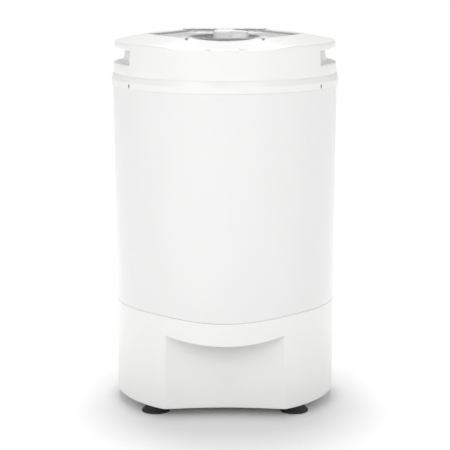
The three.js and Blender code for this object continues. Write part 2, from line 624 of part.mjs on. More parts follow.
function topCover() {
  const skirtRadius = SHELL_RADIUS + SEAT_GAP;
  const inner = WALL_TOP_RADIUS - TOP_WALL;
  const middle = (RIM_RADIUS + MOUTH_CORNER) / 2;
  const under = (radius) => deckAt(radius) - TOP_WALL;
  const loops = [
    ...outerProfile.map(([r, z]) => circleLoop(r, z)),
    circleLoop(middle, deckAt(middle)),
    circleLoop(MOUTH_CORNER + 1, DECK_LEVEL),
    hexLoop(MOUTH_APOTHEM, DECK_LEVEL),
    hexLoop(MOUTH_APOTHEM, SEAT_LEVEL),
    hexLoop(MOUTH_APOTHEM - MOUTH_LEDGE, SEAT_LEVEL),
    hexLoop(MOUTH_APOTHEM - MOUTH_LEDGE, SEAT_LEVEL - TOP_WALL),
    circleLoop(COLLAR_RADIUS - TOP_WALL, SEAT_LEVEL - TOP_WALL),
    circleLoop(COLLAR_RADIUS - TOP_WALL, COLLAR_LEVEL),
    circleLoop(COLLAR_RADIUS, COLLAR_LEVEL),
    circleLoop(COLLAR_RADIUS, under(COLLAR_RADIUS)),
    circleLoop(inner - 3, under(inner - 3)),
    circleLoop(inner, RIM_LEVEL - 8),
    circleLoop(skirtRadius - CASE_WALL, WALL_LEVEL - 2),
    circleLoop(skirtRadius - CASE_WALL, SHELL_TOP + SEAT_GAP),
    circleLoop(skirtRadius, SHELL_TOP + SEAT_GAP),
    circleLoop(skirtRadius, BAND_LEVEL),
  ];
  const plain = loopLoft(loops);
  const bent = geometryOf(plain);
  bendHeights(bent, scoopFall);
  const envelope = revolve([[0, BAND_LEVEL], ...outerProfile, [0, DECK_LEVEL]], AROUND);
  const grips = [-1, 1].map((side) => gripTool(side, 0));
  const gripWalls = [-1, 1].map((side) => gripTool(side, TOP_WALL).intersect(envelope));
  const hingePocket = block(
    [-HINGE_HALF_LENGTH - HINGE_END_LENGTH - RUN_GAP, HINGE_HALF_LENGTH + HINGE_END_LENGTH + RUN_GAP],
    [MOUTH_APOTHEM - 1, HINGE_Y + HINGE_RADIUS + RUN_GAP],
    [HINGE_LEVEL - HINGE_RADIUS - RUN_GAP, DECK_LEVEL + 1],
  );
  const pocketShell = block(
    [-HINGE_HALF_LENGTH - HINGE_END_LENGTH - 3, HINGE_HALF_LENGTH + HINGE_END_LENGTH + 3],
    [MOUTH_APOTHEM - 0.5, HINGE_Y + HINGE_RADIUS + 3],
    [HINGE_LEVEL - HINGE_RADIUS - 3, DECK_LEVEL - TOP_WALL / 2],
  );
  const cornerX = MOUTH_APOTHEM * Math.tan(Math.PI / 6);
  const notchRow = (side, y, heights) =>
    [-NOTCH_DEPTH, 0, NOTCH_DEPTH].map(
      (x, i) => new THREE.Vector3(side * (cornerX - 4) + x, y, DECK_LEVEL + heights[i]));
  const notches = [-1, 1].map((side) => {
    const [inner, outer] = [-MOUTH_APOTHEM + 2, -MOUTH_APOTHEM - NOTCH_LENGTH];
    return slab(
      [notchRow(side, inner, [1, 1, 1]), notchRow(side, outer, [1, 1, 1])],
      [notchRow(side, inner, [-0.05, -NOTCH_DEPTH, -0.05]), notchRow(side, outer, [0, -0.1, 0])],
    );
  });
  const screwHoles = SCREW_ANGLES.map((angle) => bandScrewTool(angle, BAND_SCREW_RADIUS + SEAT_GAP, 8));
  const pushrodHole = rodBetween(
    new THREE.Vector3(0, -COLLAR_RADIUS + 6, PUSH_LEVEL),
    new THREE.Vector3(0, -COLLAR_RADIUS - 3, PUSH_LEVEL),
    PUSHROD_RADIUS + SEAT_GAP,
    SMALL,
  );
  const body = union(solid(bent), ...gripWalls, pocketShell);
  return cut(body, ...grips, hingePocket, ...notches, ...screwHoles, pushrodHole);
}

// A radial rod through the band at one screw's angle, measured from the front.
function bandScrewTool(angle, radius, length) {
  const way = new THREE.Vector3(Math.sin(angle), -Math.cos(angle), 0);
  const at = (r) => way.clone().multiplyScalar(r).setZ(BAND_SCREW_LEVEL);
  return rodBetween(at(BAND_RADIUS + 2 - length), at(BAND_RADIUS + 2), radius, TINY);
}

function outerShell() {
  const shell = revolve(
    [
      [SEAM_RADIUS - CASE_WALL, SEAM_LEVEL],
      [SEAM_RADIUS, SEAM_LEVEL],
      [SHELL_RADIUS, BAND_LEVEL],
      [SHELL_RADIUS, SHELL_TOP],
      [SHELL_RADIUS - CASE_WALL, SHELL_TOP],
      [SHELL_RADIUS - CASE_WALL, BAND_LEVEL],
    ],
    AROUND,
    atSeam,
  );
  return cut(shell, ...SCREW_ANGLES.map((angle) => bandScrewTool(angle, BAND_SCREW_RADIUS + SEAT_GAP, 10)));
}

// A small pan-headed screw sunk in the band.
function bandScrew(angle) {
  const way = new THREE.Vector3(Math.sin(angle), -Math.cos(angle), 0);
  const at = (r) => way.clone().multiplyScalar(r).setZ(BAND_SCREW_LEVEL);
  return rodBetween(at(SHELL_RADIUS - CASE_WALL - 2.5), at(BAND_RADIUS - 0.6), BAND_SCREW_RADIUS, TINY);
}

piece("outer_shell", outerShell(), WHITE);
piece("top_cover", topCover(), WHITE);
const SCREW_NAMES = ["left_front", "left_rear", "right_front", "right_rear"];
SCREW_ANGLES.forEach((angle, i) => piece(`band_screw_${SCREW_NAMES[i]}`, bandScrew(angle), IRON));

// ---------------------------------------------------------------- water tub, drain and drum

const TUB_UNDERSIDE = SEAM_LEVEL + LIP_HEIGHT + SEAT_GAP;
const TUB_FLOOR_LEVEL = TUB_UNDERSIDE + TUB_WALL;
const HUB_HOLE = 20;
const NIPPLE_RADIUS = 9;
const NIPPLE_WALL = 1.8;
const NIPPLE_LENGTH = 11;
const CABLE_CIRCLE = (TUB_RADIUS + TUB_FLANGE + SHELL_RADIUS - CASE_WALL) / 2;
const CABLE_TOP_ANGLE = THREE.MathUtils.degToRad(-84);
const CABLE_LOW_ANGLE = THREE.MathUtils.degToRad(-198);

// The tub's wall, which stands in the collar of its floor.
const waterTub = () =>
  revolve([
    [TUB_RADIUS - TUB_WALL, TUB_FLOOR_LEVEL + SEAT_GAP],
    [TUB_RADIUS, TUB_FLOOR_LEVEL + SEAT_GAP],
    [TUB_RADIUS, TUB_TOP_LEVEL - TUB_WALL],
    [TUB_RADIUS + TUB_FLANGE, TUB_TOP_LEVEL - TUB_WALL],
    [TUB_RADIUS + TUB_FLANGE, TUB_TOP_LEVEL],
    [TUB_RADIUS - TUB_WALL, TUB_TOP_LEVEL],
  ], INNER);

// The tub's floor lies on the base's lip, with the drain nipple under it and a hole for the brake cable.
function tubFloor() {
  const socket = TUB_RADIUS + SEAT_GAP;
  const plate = revolve([
    [HUB_HOLE, TUB_UNDERSIDE],
    [LIP_RADIUS - RUN_GAP, TUB_UNDERSIDE],
    [LIP_RADIUS - RUN_GAP, TUB_FLOOR_LEVEL],
    [socket + TUB_WALL, TUB_FLOOR_LEVEL],
    [socket + TUB_WALL, TUB_FLOOR_LEVEL + TUB_SOCKET],
    [socket, TUB_FLOOR_LEVEL + TUB_SOCKET],
    [socket, TUB_FLOOR_LEVEL],
    [HUB_HOLE, TUB_FLOOR_LEVEL],
  ], INNER);
  const tip = TUB_UNDERSIDE - NIPPLE_LENGTH;
  const nipple = rod(NIPPLE_RADIUS, tip, TUB_UNDERSIDE + TUB_WALL / 2);
  const outlet = rod(NIPPLE_RADIUS - NIPPLE_WALL, tip - 1, TUB_FLOOR_LEVEL + 1);
  const cableHole = rod(CABLE_RADIUS + RUN_GAP, TUB_UNDERSIDE - 1, TUB_FLOOR_LEVEL + 1, TINY);
  const [holeX, holeY] = [Math.cos, Math.sin].map((along) => CABLE_CIRCLE * along(CABLE_LOW_ANGLE));
  const body = union(plate, move(nipple, 0, SPOUT_Y, 0));
  return cut(body, move(outlet, 0, SPOUT_Y, 0), move(cableHole, holeX, holeY, 0));
}

const tubSeal = () =>
  revolve([
    [TUB_RADIUS - TUB_WALL, SEAL_LEVEL],
    [TUB_RADIUS + TUB_FLANGE, SEAL_LEVEL],
    [TUB_RADIUS + 1, SEAL_LEVEL + SEAL_HEIGHT],
    [TUB_RADIUS - TUB_WALL, SEAL_LEVEL + SEAL_HEIGHT],
  ], INNER);

const SPOUT_TOP = BAY_CEILING_LEVEL + BASE_WALL + SEAT_GAP;
const SPOUT_TIP = BASE_LEVEL + BAY_LIP_MIDDLE - 3;
const SPOUT_COLLAR_TOP = SPOUT_TOP + 2.4;
const BARB_LENGTH = 9;
const HOSE_WALL = 2;
const HOSE_RIBS = 3;

function drainSpout() {
  const bore = NIPPLE_RADIUS - NIPPLE_WALL;
  return move(
    revolve(
      [
        [bore, SPOUT_TIP],
        [SPOUT_RADIUS - 1, SPOUT_TIP],
        [SPOUT_RADIUS, SPOUT_TIP + 4],
        [SPOUT_RADIUS, SPOUT_TOP],
        [SPOUT_RADIUS + 4, SPOUT_TOP],
        [SPOUT_RADIUS + 4, SPOUT_COLLAR_TOP],
        [NIPPLE_RADIUS, SPOUT_COLLAR_TOP],
        [NIPPLE_RADIUS, SPOUT_TOP + BARB_LENGTH],
        [bore, SPOUT_TOP + BARB_LENGTH],
      ],
      SMALL,
    ), 0, SPOUT_Y, 0);
}

// The ribbed sleeve pushed over the tub's nipple above and the spout's neck below.
function drainHose() {
  const low = SPOUT_COLLAR_TOP + SEAT_GAP;
  const high = TUB_UNDERSIDE - SEAT_GAP;
  const bore = NIPPLE_RADIUS + SEAT_GAP;
  const cuff = 6;
  const pitch = (high - low - 2 * cuff) / HOSE_RIBS;
  const ribs = Array.from({ length: HOSE_RIBS }, (_, i) => {
    const z = low + cuff + i * pitch;
    const outside = bore + HOSE_WALL;
    const crest = [outside + HOSE_WALL, z + 0.5 * pitch];
    return [[outside, z + 0.15 * pitch], crest, [outside, z + 0.85 * pitch]];
  }).flat();
  const profile = [[bore, low], [bore + HOSE_WALL, low], ...ribs, [bore + HOSE_WALL, high], [bore, high]];
  return move(revolve(profile, SMALL), 0, SPOUT_Y, 0);
}

const SHAFT_SEAL_FLANGE = 4; // over the edge of the tub's hole, above and below
const SHAFT_SEAL_RISE = 7;

const shaftSeal = () =>
  revolve(
    [
      [SHAFT_RADIUS + RUN_GAP, TUB_UNDERSIDE - 1.5 * SHAFT_SEAL_FLANGE],
      [HUB_HOLE + SHAFT_SEAL_FLANGE, TUB_UNDERSIDE - SHAFT_SEAL_FLANGE],
      [HUB_HOLE + SHAFT_SEAL_FLANGE, TUB_UNDERSIDE - SEAT_GAP],
      [HUB_HOLE - SEAT_GAP, TUB_UNDERSIDE - SEAT_GAP],
      [HUB_HOLE - SEAT_GAP, TUB_FLOOR_LEVEL + SEAT_GAP],
      [HUB_HOLE + SHAFT_SEAL_FLANGE, TUB_FLOOR_LEVEL + SEAT_GAP],
      [HUB_HOLE, TUB_FLOOR_LEVEL + SHAFT_SEAL_RISE / 2],
      [SHAFT_RADIUS + RUN_GAP, TUB_FLOOR_LEVEL + SHAFT_SEAL_RISE],
    ],
    SMALL,
  );

const DRUM_FLOOR = TUB_FLOOR_LEVEL + DRUM_FLOOR_GAP;
const DRUM_TOP = TUB_TOP_LEVEL - DRUM_TOP_DROP;
const HUB_RADIUS = 44;
const HUB_BOSS = 14;
const HUB_HEIGHT = 9;
const HUB_PLATE = 3;
const NUT_RADIUS = 12;
const NUT_HEIGHT = 9;
const SHAFT_IN_NUT = 7;

const DRUM_FACETS = 2 * DRUM_HOLES_ROUND;
const DRUM_PLAIN_LOW = 40; // unperforated band over the floor
const DRUM_PLAIN_HIGH = 30; // unperforated band under the rim
const DRUM_TURN = 5; // wall's top edge turned in under the rim

// The drum's rolled wall: its holes stand in staggered rows, each in the middle of a facet.
function drum() {
  const shell = revolve(
    [
      [DRUM_RADIUS, DRUM_FLOOR + DRUM_CORNER],
      [DRUM_RADIUS, DRUM_TOP],
      [DRUM_RADIUS - DRUM_TURN, DRUM_TOP],
      [DRUM_RADIUS - DRUM_TURN, DRUM_TOP - DRUM_WALL],
      [DRUM_RADIUS - DRUM_WALL, DRUM_TOP - DRUM_WALL],
      [DRUM_RADIUS - DRUM_WALL, DRUM_FLOOR + DRUM_CORNER],
    ],
    DRUM_FACETS,
  );
  const low = DRUM_FLOOR + DRUM_PLAIN_LOW;
  const pitch = (DRUM_TOP - DRUM_PLAIN_HIGH - low) / (DRUM_HOLE_ROWS - 1);
  const half = TAU / DRUM_FACETS / 2;
  const holes = Array.from({ length: DRUM_HOLE_ROWS }, (_, row) =>
    around(
      DRUM_HOLES_ROUND,
      (angle) => {
        const at = (r) => new THREE.Vector3(r * Math.cos(angle), r * Math.sin(angle), low + row * pitch);
        return rodBetween(at(DRUM_RADIUS - 4), at(DRUM_RADIUS + 2), DRUM_HOLE_RADIUS, 6);
      },
      half + (row % 2) * 2 * half,
    ),
  ).flat();
  return shell.subtract(wasm.Manifold.union(holes));
}

// The drum's pressed floor, whose rim stands up inside the wall.
function drumFloor() {
  const outside = DRUM_RADIUS - DRUM_WALL - SEAT_GAP;
  const turn = 0.3 * DRUM_CORNER;
  const bore = SHAFT_RADIUS + SEAT_GAP;
  return revolve(
    [
      [bore, DRUM_FLOOR],
      [outside - DRUM_CORNER, DRUM_FLOOR],
      [outside - turn, DRUM_FLOOR + turn],
      [outside, DRUM_FLOOR + DRUM_CORNER],
      [outside, DRUM_FLOOR + DRUM_CORNER + DRUM_LAP],
      [outside - DRUM_WALL, DRUM_FLOOR + DRUM_CORNER + DRUM_LAP],
      [outside - DRUM_WALL, DRUM_FLOOR + DRUM_CORNER],
      [outside - turn - DRUM_WALL, DRUM_FLOOR + turn + DRUM_WALL],
      [outside - DRUM_CORNER, DRUM_FLOOR + DRUM_WALL],
      [bore, DRUM_FLOOR + DRUM_WALL],
    ],
    DRUM_FACETS,
  );
}

const drumRim = () =>
  revolve([
    [DRUM_MOUTH_RADIUS, DRUM_TOP + SEAT_GAP + 3],
    [DRUM_MOUTH_RADIUS + 4, DRUM_TOP + SEAT_GAP],
    [DRUM_RADIUS + 1, DRUM_TOP + SEAT_GAP],
    [DRUM_RADIUS + 1, DRUM_TOP + DRUM_RIM_HEIGHT - 4],
    [DRUM_RADIUS - 3, DRUM_TOP + DRUM_RIM_HEIGHT],
    [DRUM_MOUTH_RADIUS + 4, DRUM_TOP + DRUM_RIM_HEIGHT],
    [DRUM_MOUTH_RADIUS, DRUM_TOP + DRUM_RIM_HEIGHT - 3],
  ], INNER);

// A cast spider under the drum's floor: a boss on the shaft, a flange and six ribs.
function drumHub() {
  const top = DRUM_FLOOR - SEAT_GAP;
  const boss = revolve(
    [
      [SHAFT_RADIUS + SEAT_GAP, top - HUB_HEIGHT],
      [HUB_BOSS, top - HUB_HEIGHT],
      [HUB_BOSS + HUB_PLATE, top - HUB_PLATE],
      [HUB_RADIUS, top - HUB_PLATE],
      [HUB_RADIUS, top],
      [SHAFT_RADIUS + SEAT_GAP, top],
    ],
    SMALL,
  );
  const rib = block(
    [HUB_BOSS - HUB_PLATE, HUB_RADIUS - HUB_PLATE],
    [-HUB_PLATE / 2, HUB_PLATE / 2],
    [top - 0.8 * HUB_HEIGHT, top - HUB_PLATE / 2],
  );
  const ribs = around(6, (a) => turnZ(rib, a));
  return union(boss, ...ribs);
}

const hubNut = () =>
  move(
    cut(
      prism(polygon(around(6, (a) => [NUT_RADIUS * Math.cos(a), NUT_RADIUS * Math.sin(a)])), 0, NUT_HEIGHT),
      rod(SHAFT_RADIUS + SEAT_GAP, -1, SHAFT_IN_NUT, SMALL),
    ), 0, 0, DRUM_FLOOR + DRUM_WALL + SEAT_GAP);

const driveShaft = () => rod(SHAFT_RADIUS, MOTOR_LEVEL + 1, DRUM_FLOOR + DRUM_WALL + SHAFT_IN_NUT, SMALL);

piece("water_tub", waterTub(), INNER_WHITE);
piece("tub_floor", tubFloor(), INNER_WHITE);
piece("tub_seal", tubSeal(), RUBBER);
piece("drain_spout", drainSpout(), GREY);
piece("drain_hose", drainHose(), RUBBER);
piece("shaft_seal", shaftSeal(), RUBBER);
piece("drum", drum(), STEEL);
piece("drum_floor", drumFloor(), STEEL);
piece("drum_rim", drumRim(), INNER_WHITE);
piece("drum_hub", drumHub(), CAST);
piece("hub_nut", hubNut(), STEEL);
piece("drive_shaft", driveShaft(), STEEL);

// ---------------------------------------------------------------- motor and its suspension

const LOWER_SHIELD_TOP = MOTOR_LEVEL + SHIELD_HEIGHT;
const STATOR_LEVEL = LOWER_SHIELD_TOP + SEAT_GAP;
const STATOR_TOP = STATOR_LEVEL + STATOR_HEIGHT;
const UPPER_SHIELD_LEVEL = STATOR_TOP + SEAT_GAP;
const UPPER_SHIELD_TOP = UPPER_SHIELD_LEVEL + SHIELD_HEIGHT;
const SHIELD_WALL = 3;
const VENT_HALF_WIDTH = 5;
const STATOR_SLOT_DEPTH = 13;
const ROTOR_HOLE_CIRCLE = 17;
const ROTOR_RADIUS = 30;
const WINDING_HEIGHT = 11;
const BEARING_LEVEL = MOTOR_LEVEL + SHIELD_WALL + SEAT_GAP;
const UPPER_BEARING_LEVEL = UPPER_SHIELD_TOP - SHIELD_WALL - SEAT_GAP - BEARING_HEIGHT;

// A cup that closes one end of the stator and holds a bearing; facing is 1 where it opens upwards.
function endShield(level, facing) {
  const z = (rise) => level + facing * rise;
  const seat = BEARING_RADIUS + SEAT_GAP;
  const cup = revolve(
    [
      [SHAFT_RADIUS + 2, z(0)],
      [MOTOR_RADIUS - 6, z(0)],
      [MOTOR_RADIUS, z(6)],
      [MOTOR_RADIUS, z(SHIELD_HEIGHT)],
      [MOTOR_RADIUS - SHIELD_WALL, z(SHIELD_HEIGHT)],
      [MOTOR_RADIUS - SHIELD_WALL, z(7)],
      [MOTOR_RADIUS - 7, z(SHIELD_WALL)],
      [seat + SHIELD_WALL, z(SHIELD_WALL)],
      [seat + SHIELD_WALL, z(SHIELD_WALL + BEARING_HEIGHT)],
      [seat, z(SHIELD_WALL + BEARING_HEIGHT)],
      [seat, z(SHIELD_WALL)],
      [SHAFT_RADIUS + 2, z(SHIELD_WALL)],
    ],
    SMALL,
  );
  const ventHeights = [z(0.45 * SHIELD_HEIGHT), z(0.72 * SHIELD_HEIGHT)].sort((a, b) => a - b);
  const across = [-VENT_HALF_WIDTH, VENT_HALF_WIDTH];
  const vent = block([MOTOR_RADIUS - 2 * VENT_HALF_WIDTH, MOTOR_RADIUS + VENT_HALF_WIDTH], across, ventHeights);
  const vents = around(6, (a) => turnZ(vent, a));
  return cut(cup, ...vents);
}

// The laminated core, with open slots for the windings on its bore.
function statorCore() {
  const bore = ROTOR_RADIUS + RUN_GAP;
  const slot = block([bore - 3, bore + STATOR_SLOT_DEPTH], [-3, 3], [STATOR_LEVEL - 1, STATOR_TOP + 1]);
  const slots = around(12, (a) => turnZ(slot, a));
  return cut(ring(MOTOR_RADIUS, bore, STATOR_LEVEL, STATOR_TOP, INNER), ...slots);
}

const winding = (low) =>
  revolve(
    [
      [ROTOR_RADIUS + 5, low],
      [MOTOR_RADIUS - 8, low],
      [MOTOR_RADIUS - 9, low + WINDING_HEIGHT * 0.7],
      [MOTOR_RADIUS - 13, low + WINDING_HEIGHT],
      [ROTOR_RADIUS + 9, low + WINDING_HEIGHT],
      [ROTOR_RADIUS + 5, low + WINDING_HEIGHT * 0.7],
    ],
    SMALL,
  );
const windingUnder = (high) => winding(-high).mirror([0, 0, 1]);

const bearing = (level) =>
  revolve(
    [
      [SHAFT_RADIUS + SEAT_GAP, level],
      [BEARING_RADIUS, level],
      [BEARING_RADIUS, level + BEARING_HEIGHT],
      [BEARING_RADIUS - 3, level + BEARING_HEIGHT],
      [BEARING_RADIUS - 3.5, level + BEARING_HEIGHT - 0.8],
      [SHAFT_RADIUS + 3, level + BEARING_HEIGHT - 0.8],
      [SHAFT_RADIUS + 2.5, level + BEARING_HEIGHT],
      [SHAFT_RADIUS + SEAT_GAP, level + BEARING_HEIGHT],
    ],
    SMALL,
  );

function rotor() {
  const [low, high] = [STATOR_LEVEL - 2, STATOR_TOP + 2];
  const hole = move(rod(3, low - 1, high + 1, 6), ROTOR_HOLE_CIRCLE, 0, 0);
  return cut(ring(ROTOR_RADIUS, SHAFT_RADIUS + SEAT_GAP, low, high, INNER), ...around(6, (a) => turnZ(hole, a)));
}

const PLATE_TOP = PLATE_LEVEL + PLATE_THICKNESS;
const PLATE_RADIUS = 80;
const PLATE_FLANGE = 4;
const PLATE_HOLE_RADIUS = 9;
const PLATE_HOLE_CIRCLE = 62;
const PIVOT_X = -58;
const PIVOT_Y = -42;
const ARM_LOW = PLATE_TOP + 7;
const ARM_HIGH = ARM_LOW + BRAKE_ARM_WIDTH;
const STOP_X = [-96, -82];
const STOP_Y = 50;
const STOP_WALL = 2.5;
const TOWER_HALF_WIDTH = 3;
const TOWER_FOOT_END = -55;
const ARM_MIDDLE = (ARM_LOW + ARM_HIGH) / 2;

// A small rod along X on the line of the brake cable's end.
function alongStop(x0, x1, radius) {
  const at = (x) => new THREE.Vector3(x, STOP_Y, ARM_MIDDLE);
  return rodBetween(at(x0), at(x1), radius, TINY);
}

// A pressed plate with three arms, one on each mount, and the tower that stops the brake cable's sheath.
function motorPlate() {
  const bar = block([0, MOUNT_CIRCLE], [-MOUNT_RADIUS, MOUNT_RADIUS], [PLATE_LEVEL, PLATE_TOP]);
  const end = ({ x, y }) => move(rod(MOUNT_RADIUS, PLATE_LEVEL, PLATE_TOP), x, y, 0);
  const flangeTop = PLATE_TOP + PLATE_FLANGE;
  const flange = ring(PLATE_RADIUS, PLATE_RADIUS - PLATE_FLANGE / 2, PLATE_TOP - 1, flangeTop, INNER);
  const lightening = move(
    rod(PLATE_HOLE_RADIUS, PLATE_LEVEL - 1, PLATE_TOP + 1, SMALL - 4), PLATE_HOLE_CIRCLE, 0, 0);
  const hole = ({ x, y }) =>
    move(rod(MOUNT_BOLT_RADIUS + SEAT_GAP, PLATE_LEVEL - 1, PLATE_TOP + 1, TINY), x, y, 0);
  const across = [STOP_Y - TOWER_HALF_WIDTH, STOP_Y + TOWER_HALF_WIDTH];
  const tower = union(
    block([STOP_X[0] + 2, STOP_X[1] - 2], across, [PLATE_LEVEL, ARM_MIDDLE]),
    block([STOP_X[0] + 2, TOWER_FOOT_END], across, [PLATE_LEVEL, PLATE_TOP]),
    alongStop(STOP_X[0], STOP_X[1], CABLE_RADIUS + STOP_WALL),
  );
  const sheathBore = alongStop(STOP_X[0] - 1, STOP_X[1] + 1, CABLE_RADIUS + SEAT_GAP);
  return cut(
    union(
      rod(PLATE_RADIUS, PLATE_LEVEL, PLATE_TOP, INNER),
      flange,
      ...around(3, (a) => turnZ(bar, a), Math.PI / 2),
      ...mountPlaces.map(end),
      tower,
    ),
    ...mountPlaces.map(hole),
    ...around(6, (a) => turnZ(lightening, a)),
    rod(BEARING_RADIUS - PLATE_THICKNESS, PLATE_LEVEL - 1, PLATE_TOP + 1),
    move(rod(BRAKE_PIVOT_RADIUS + SEAT_GAP, PLATE_LEVEL - 1, PLATE_TOP + 1, TINY), PIVOT_X, PIVOT_Y, 0),
    sheathBore,
  );
}

// A waisted rubber buffer with a stud above, through the plate, and one below, in the base's post.
function suspensionMount() {
  const low = POST_TOP + SEAT_GAP;
  const high = PLATE_LEVEL - SEAT_GAP;
  return revolve(
    [
      [0, low - MOUNT_STUD],
      [MOUNT_BOLT_RADIUS, low - MOUNT_STUD],
      [MOUNT_BOLT_RADIUS, low],
      [MOUNT_RADIUS - 1, low],
      [MOUNT_RADIUS - 1, low + 3],
      [MOUNT_RADIUS - 4, (low + high) / 2],
      [MOUNT_RADIUS - 1, high - 3],
      [MOUNT_RADIUS - 1, high],
      [MOUNT_BOLT_RADIUS, high],
      [MOUNT_BOLT_RADIUS, PLATE_TOP + 6],
      [0, PLATE_TOP + 6],
    ],
    SMALL - 2,
  );
}

const CAPACITOR = { x: 90, y: 62, radius: 17, height: 58, wall: 3 };
const CLAMP = { rise: 18, width: 12, thickness: 1.5, foot: 3, toe: 14 };

const capacitor = () =>
  move(
    revolve(
      [
        [0, FLOOR_TOP + SEAT_GAP],
        [CAPACITOR.radius - 1, FLOOR_TOP + SEAT_GAP],
        [CAPACITOR.radius, FLOOR_TOP + SEAT_GAP + 1],
        [CAPACITOR.radius, FLOOR_TOP + CAPACITOR.height],
        [CAPACITOR.radius - CAPACITOR.wall, FLOOR_TOP + CAPACITOR.height],
        [CAPACITOR.radius - CAPACITOR.wall, FLOOR_TOP + CAPACITOR.height - CAPACITOR.wall],
        [0, FLOOR_TOP + CAPACITOR.height - CAPACITOR.wall],
      ],
      SMALL,
    ), CAPACITOR.x, CAPACITOR.y, 0);

function capacitorClamp() {
  const inner = CAPACITOR.radius + SEAT_GAP;
  const foot = FLOOR_TOP + SEAT_GAP;
  const low = FLOOR_TOP + CLAMP.rise;
  const across = [-CLAMP.width / 2, CLAMP.width / 2];
  const band = ring(inner + CLAMP.thickness, inner, low, low + CLAMP.width, SMALL);
  const leg = block([inner, inner + CLAMP.foot], across, [foot, low + CLAMP.width]);
  const toe = block([inner, inner + CLAMP.toe], across, [foot, foot + CLAMP.thickness]);
  return move(union(band, leg, toe), CAPACITOR.x, CAPACITOR.y, 0);
}

piece("motor_lower_shield", endShield(MOTOR_LEVEL, 1), CAST);
piece("motor_upper_shield", endShield(UPPER_SHIELD_TOP, -1), CAST);
piece("stator_core", statorCore(), IRON);
piece("winding_upper", winding(STATOR_TOP + SEAT_GAP), COPPER);
piece("winding_lower", windingUnder(STATOR_LEVEL - SEAT_GAP), COPPER);
piece("bearing_lower", bearing(BEARING_LEVEL), STEEL);
piece("bearing_upper", bearing(UPPER_BEARING_LEVEL), STEEL);
piece("rotor", rotor(), IRON);
piece("motor_plate", motorPlate(), ZINC);
const MOUNT_NAMES = ["rear", "left", "right"];
mountPlaces.forEach(({ x, y }, i) => {
  piece(`suspension_mount_${MOUNT_NAMES[i]}`, move(suspensionMount(), x, y, 0), RUBBER);
});
piece("capacitor", capacitor(), GREY);
piece("capacitor_clamp", capacitorClamp(), ZINC);

// ---------------------------------------------------------------- brake

const BRAKE_LEVEL = PLATE_TOP + 5;
const BRAKE_CLOSE = BRAKE_RADIUS + BRAKE_RUN_GAP;
const LINING_THICKNESS = 4;
const LINING_HALF_LENGTH = 10;
const ARM_FACE = -(BRAKE_CLOSE + LINING_THICKNESS + SEAT_GAP + 1);

const brakeDisc = () =>
  revolve(
    [
      [SHAFT_RADIUS + SEAT_GAP, BRAKE_LEVEL],
      [BRAKE_RADIUS, BRAKE_LEVEL],
      [BRAKE_RADIUS, BRAKE_LEVEL + BRAKE_HEIGHT],
      [BRAKE_RADIUS - 3, BRAKE_LEVEL + BRAKE_HEIGHT],
      [BRAKE_RADIUS - 4, BRAKE_LEVEL + 4],
      [HUB_BOSS, BRAKE_LEVEL + 4],
      [HUB_BOSS, BRAKE_LEVEL + BRAKE_HEIGHT + 2],
      [SHAFT_RADIUS + SEAT_GAP, BRAKE_LEVEL + BRAKE_HEIGHT + 2],
    ],
    INNER,
  );

// A lever from the pivot past the disc to the cable, with the wire it is drawn by.
function brakeArm() {
  const wide = BRAKE_ARM_WIDTH;
  const slim = BRAKE_ARM_WIDTH / 2;
  const bar = prism(
    polygon([
      [PIVOT_X - wide, PIVOT_Y],
      [PIVOT_X, PIVOT_Y - wide],
      [PIVOT_X + wide, PIVOT_Y],
      [ARM_FACE, -2 * wide],
      [ARM_FACE, 2 * wide],
      [PIVOT_X + slim, 5 * wide],
      [PIVOT_X + slim, STOP_Y + slim],
      [PIVOT_X - slim, STOP_Y + slim],
      [PIVOT_X - wide, 2 * wide],
    ]),
    ARM_LOW,
    ARM_HIGH,
  );
  const wire = alongStop(STOP_X[1] - 3, PIVOT_X, WIRE_RADIUS);
  const eye = rod(BRAKE_PIVOT_RADIUS + SEAT_GAP, ARM_LOW - 1, ARM_HIGH + 1, SMALL);
  return cut(union(bar, wire), move(eye, PIVOT_X, PIVOT_Y, 0));
}

// The friction lining on the arm, hollowed to the disc.
function brakeLining() {
  const back = ARM_FACE + SEAT_GAP;
  const along = [-LINING_HALF_LENGTH, LINING_HALF_LENGTH];
  const pad = block([back, back + LINING_THICKNESS + 1], along, [ARM_LOW, ARM_HIGH]);
  return cut(pad, rod(BRAKE_CLOSE, ARM_LOW - 1, ARM_HIGH + 1, 2 * INNER));
}

const brakePivot = () =>
  move(
    revolve(
      [
        [0, PLATE_LEVEL - 2],
        [BRAKE_PIVOT_RADIUS, PLATE_LEVEL - 2],
        [BRAKE_PIVOT_RADIUS, PLATE_TOP + SEAT_GAP],
        [BRAKE_PIVOT_RADIUS + 2.4, PLATE_TOP + SEAT_GAP],
        [BRAKE_PIVOT_RADIUS + 2.4, ARM_LOW - SEAT_GAP],
        [BRAKE_PIVOT_RADIUS, ARM_LOW - SEAT_GAP],
        [BRAKE_PIVOT_RADIUS, ARM_HIGH + 8],
        [0, ARM_HIGH + 8],
      ],
      SMALL,
    ), PIVOT_X, PIVOT_Y, 0);

// The torsion spring that holds the lining to the disc, coiled on the pivot above the arm.
function brakeSpring() {
  const turns = 3;
  const wire = 0.9;
  const radius = BRAKE_PIVOT_RADIUS + wire + SEAT_GAP + 0.2;
  const pitch = 2 * wire + 0.5;
  const coil = new THREE.CatmullRomCurve3(
    Array.from({ length: turns * 8 + 1 }, (_, i) => {
      const angle = (i * TAU) / 8;
      return new THREE.Vector3(
        PIVOT_X + radius * Math.cos(angle),
        PIVOT_Y + radius * Math.sin(angle),
        ARM_HIGH + SEAT_GAP + wire + (i * pitch) / 8,
      );
    }),
  );
  return tube(coil, wire, turns * 8, 5);
}

const CABLE_BEND = 20.5; // room for each half of the cable's bend in towards the arm

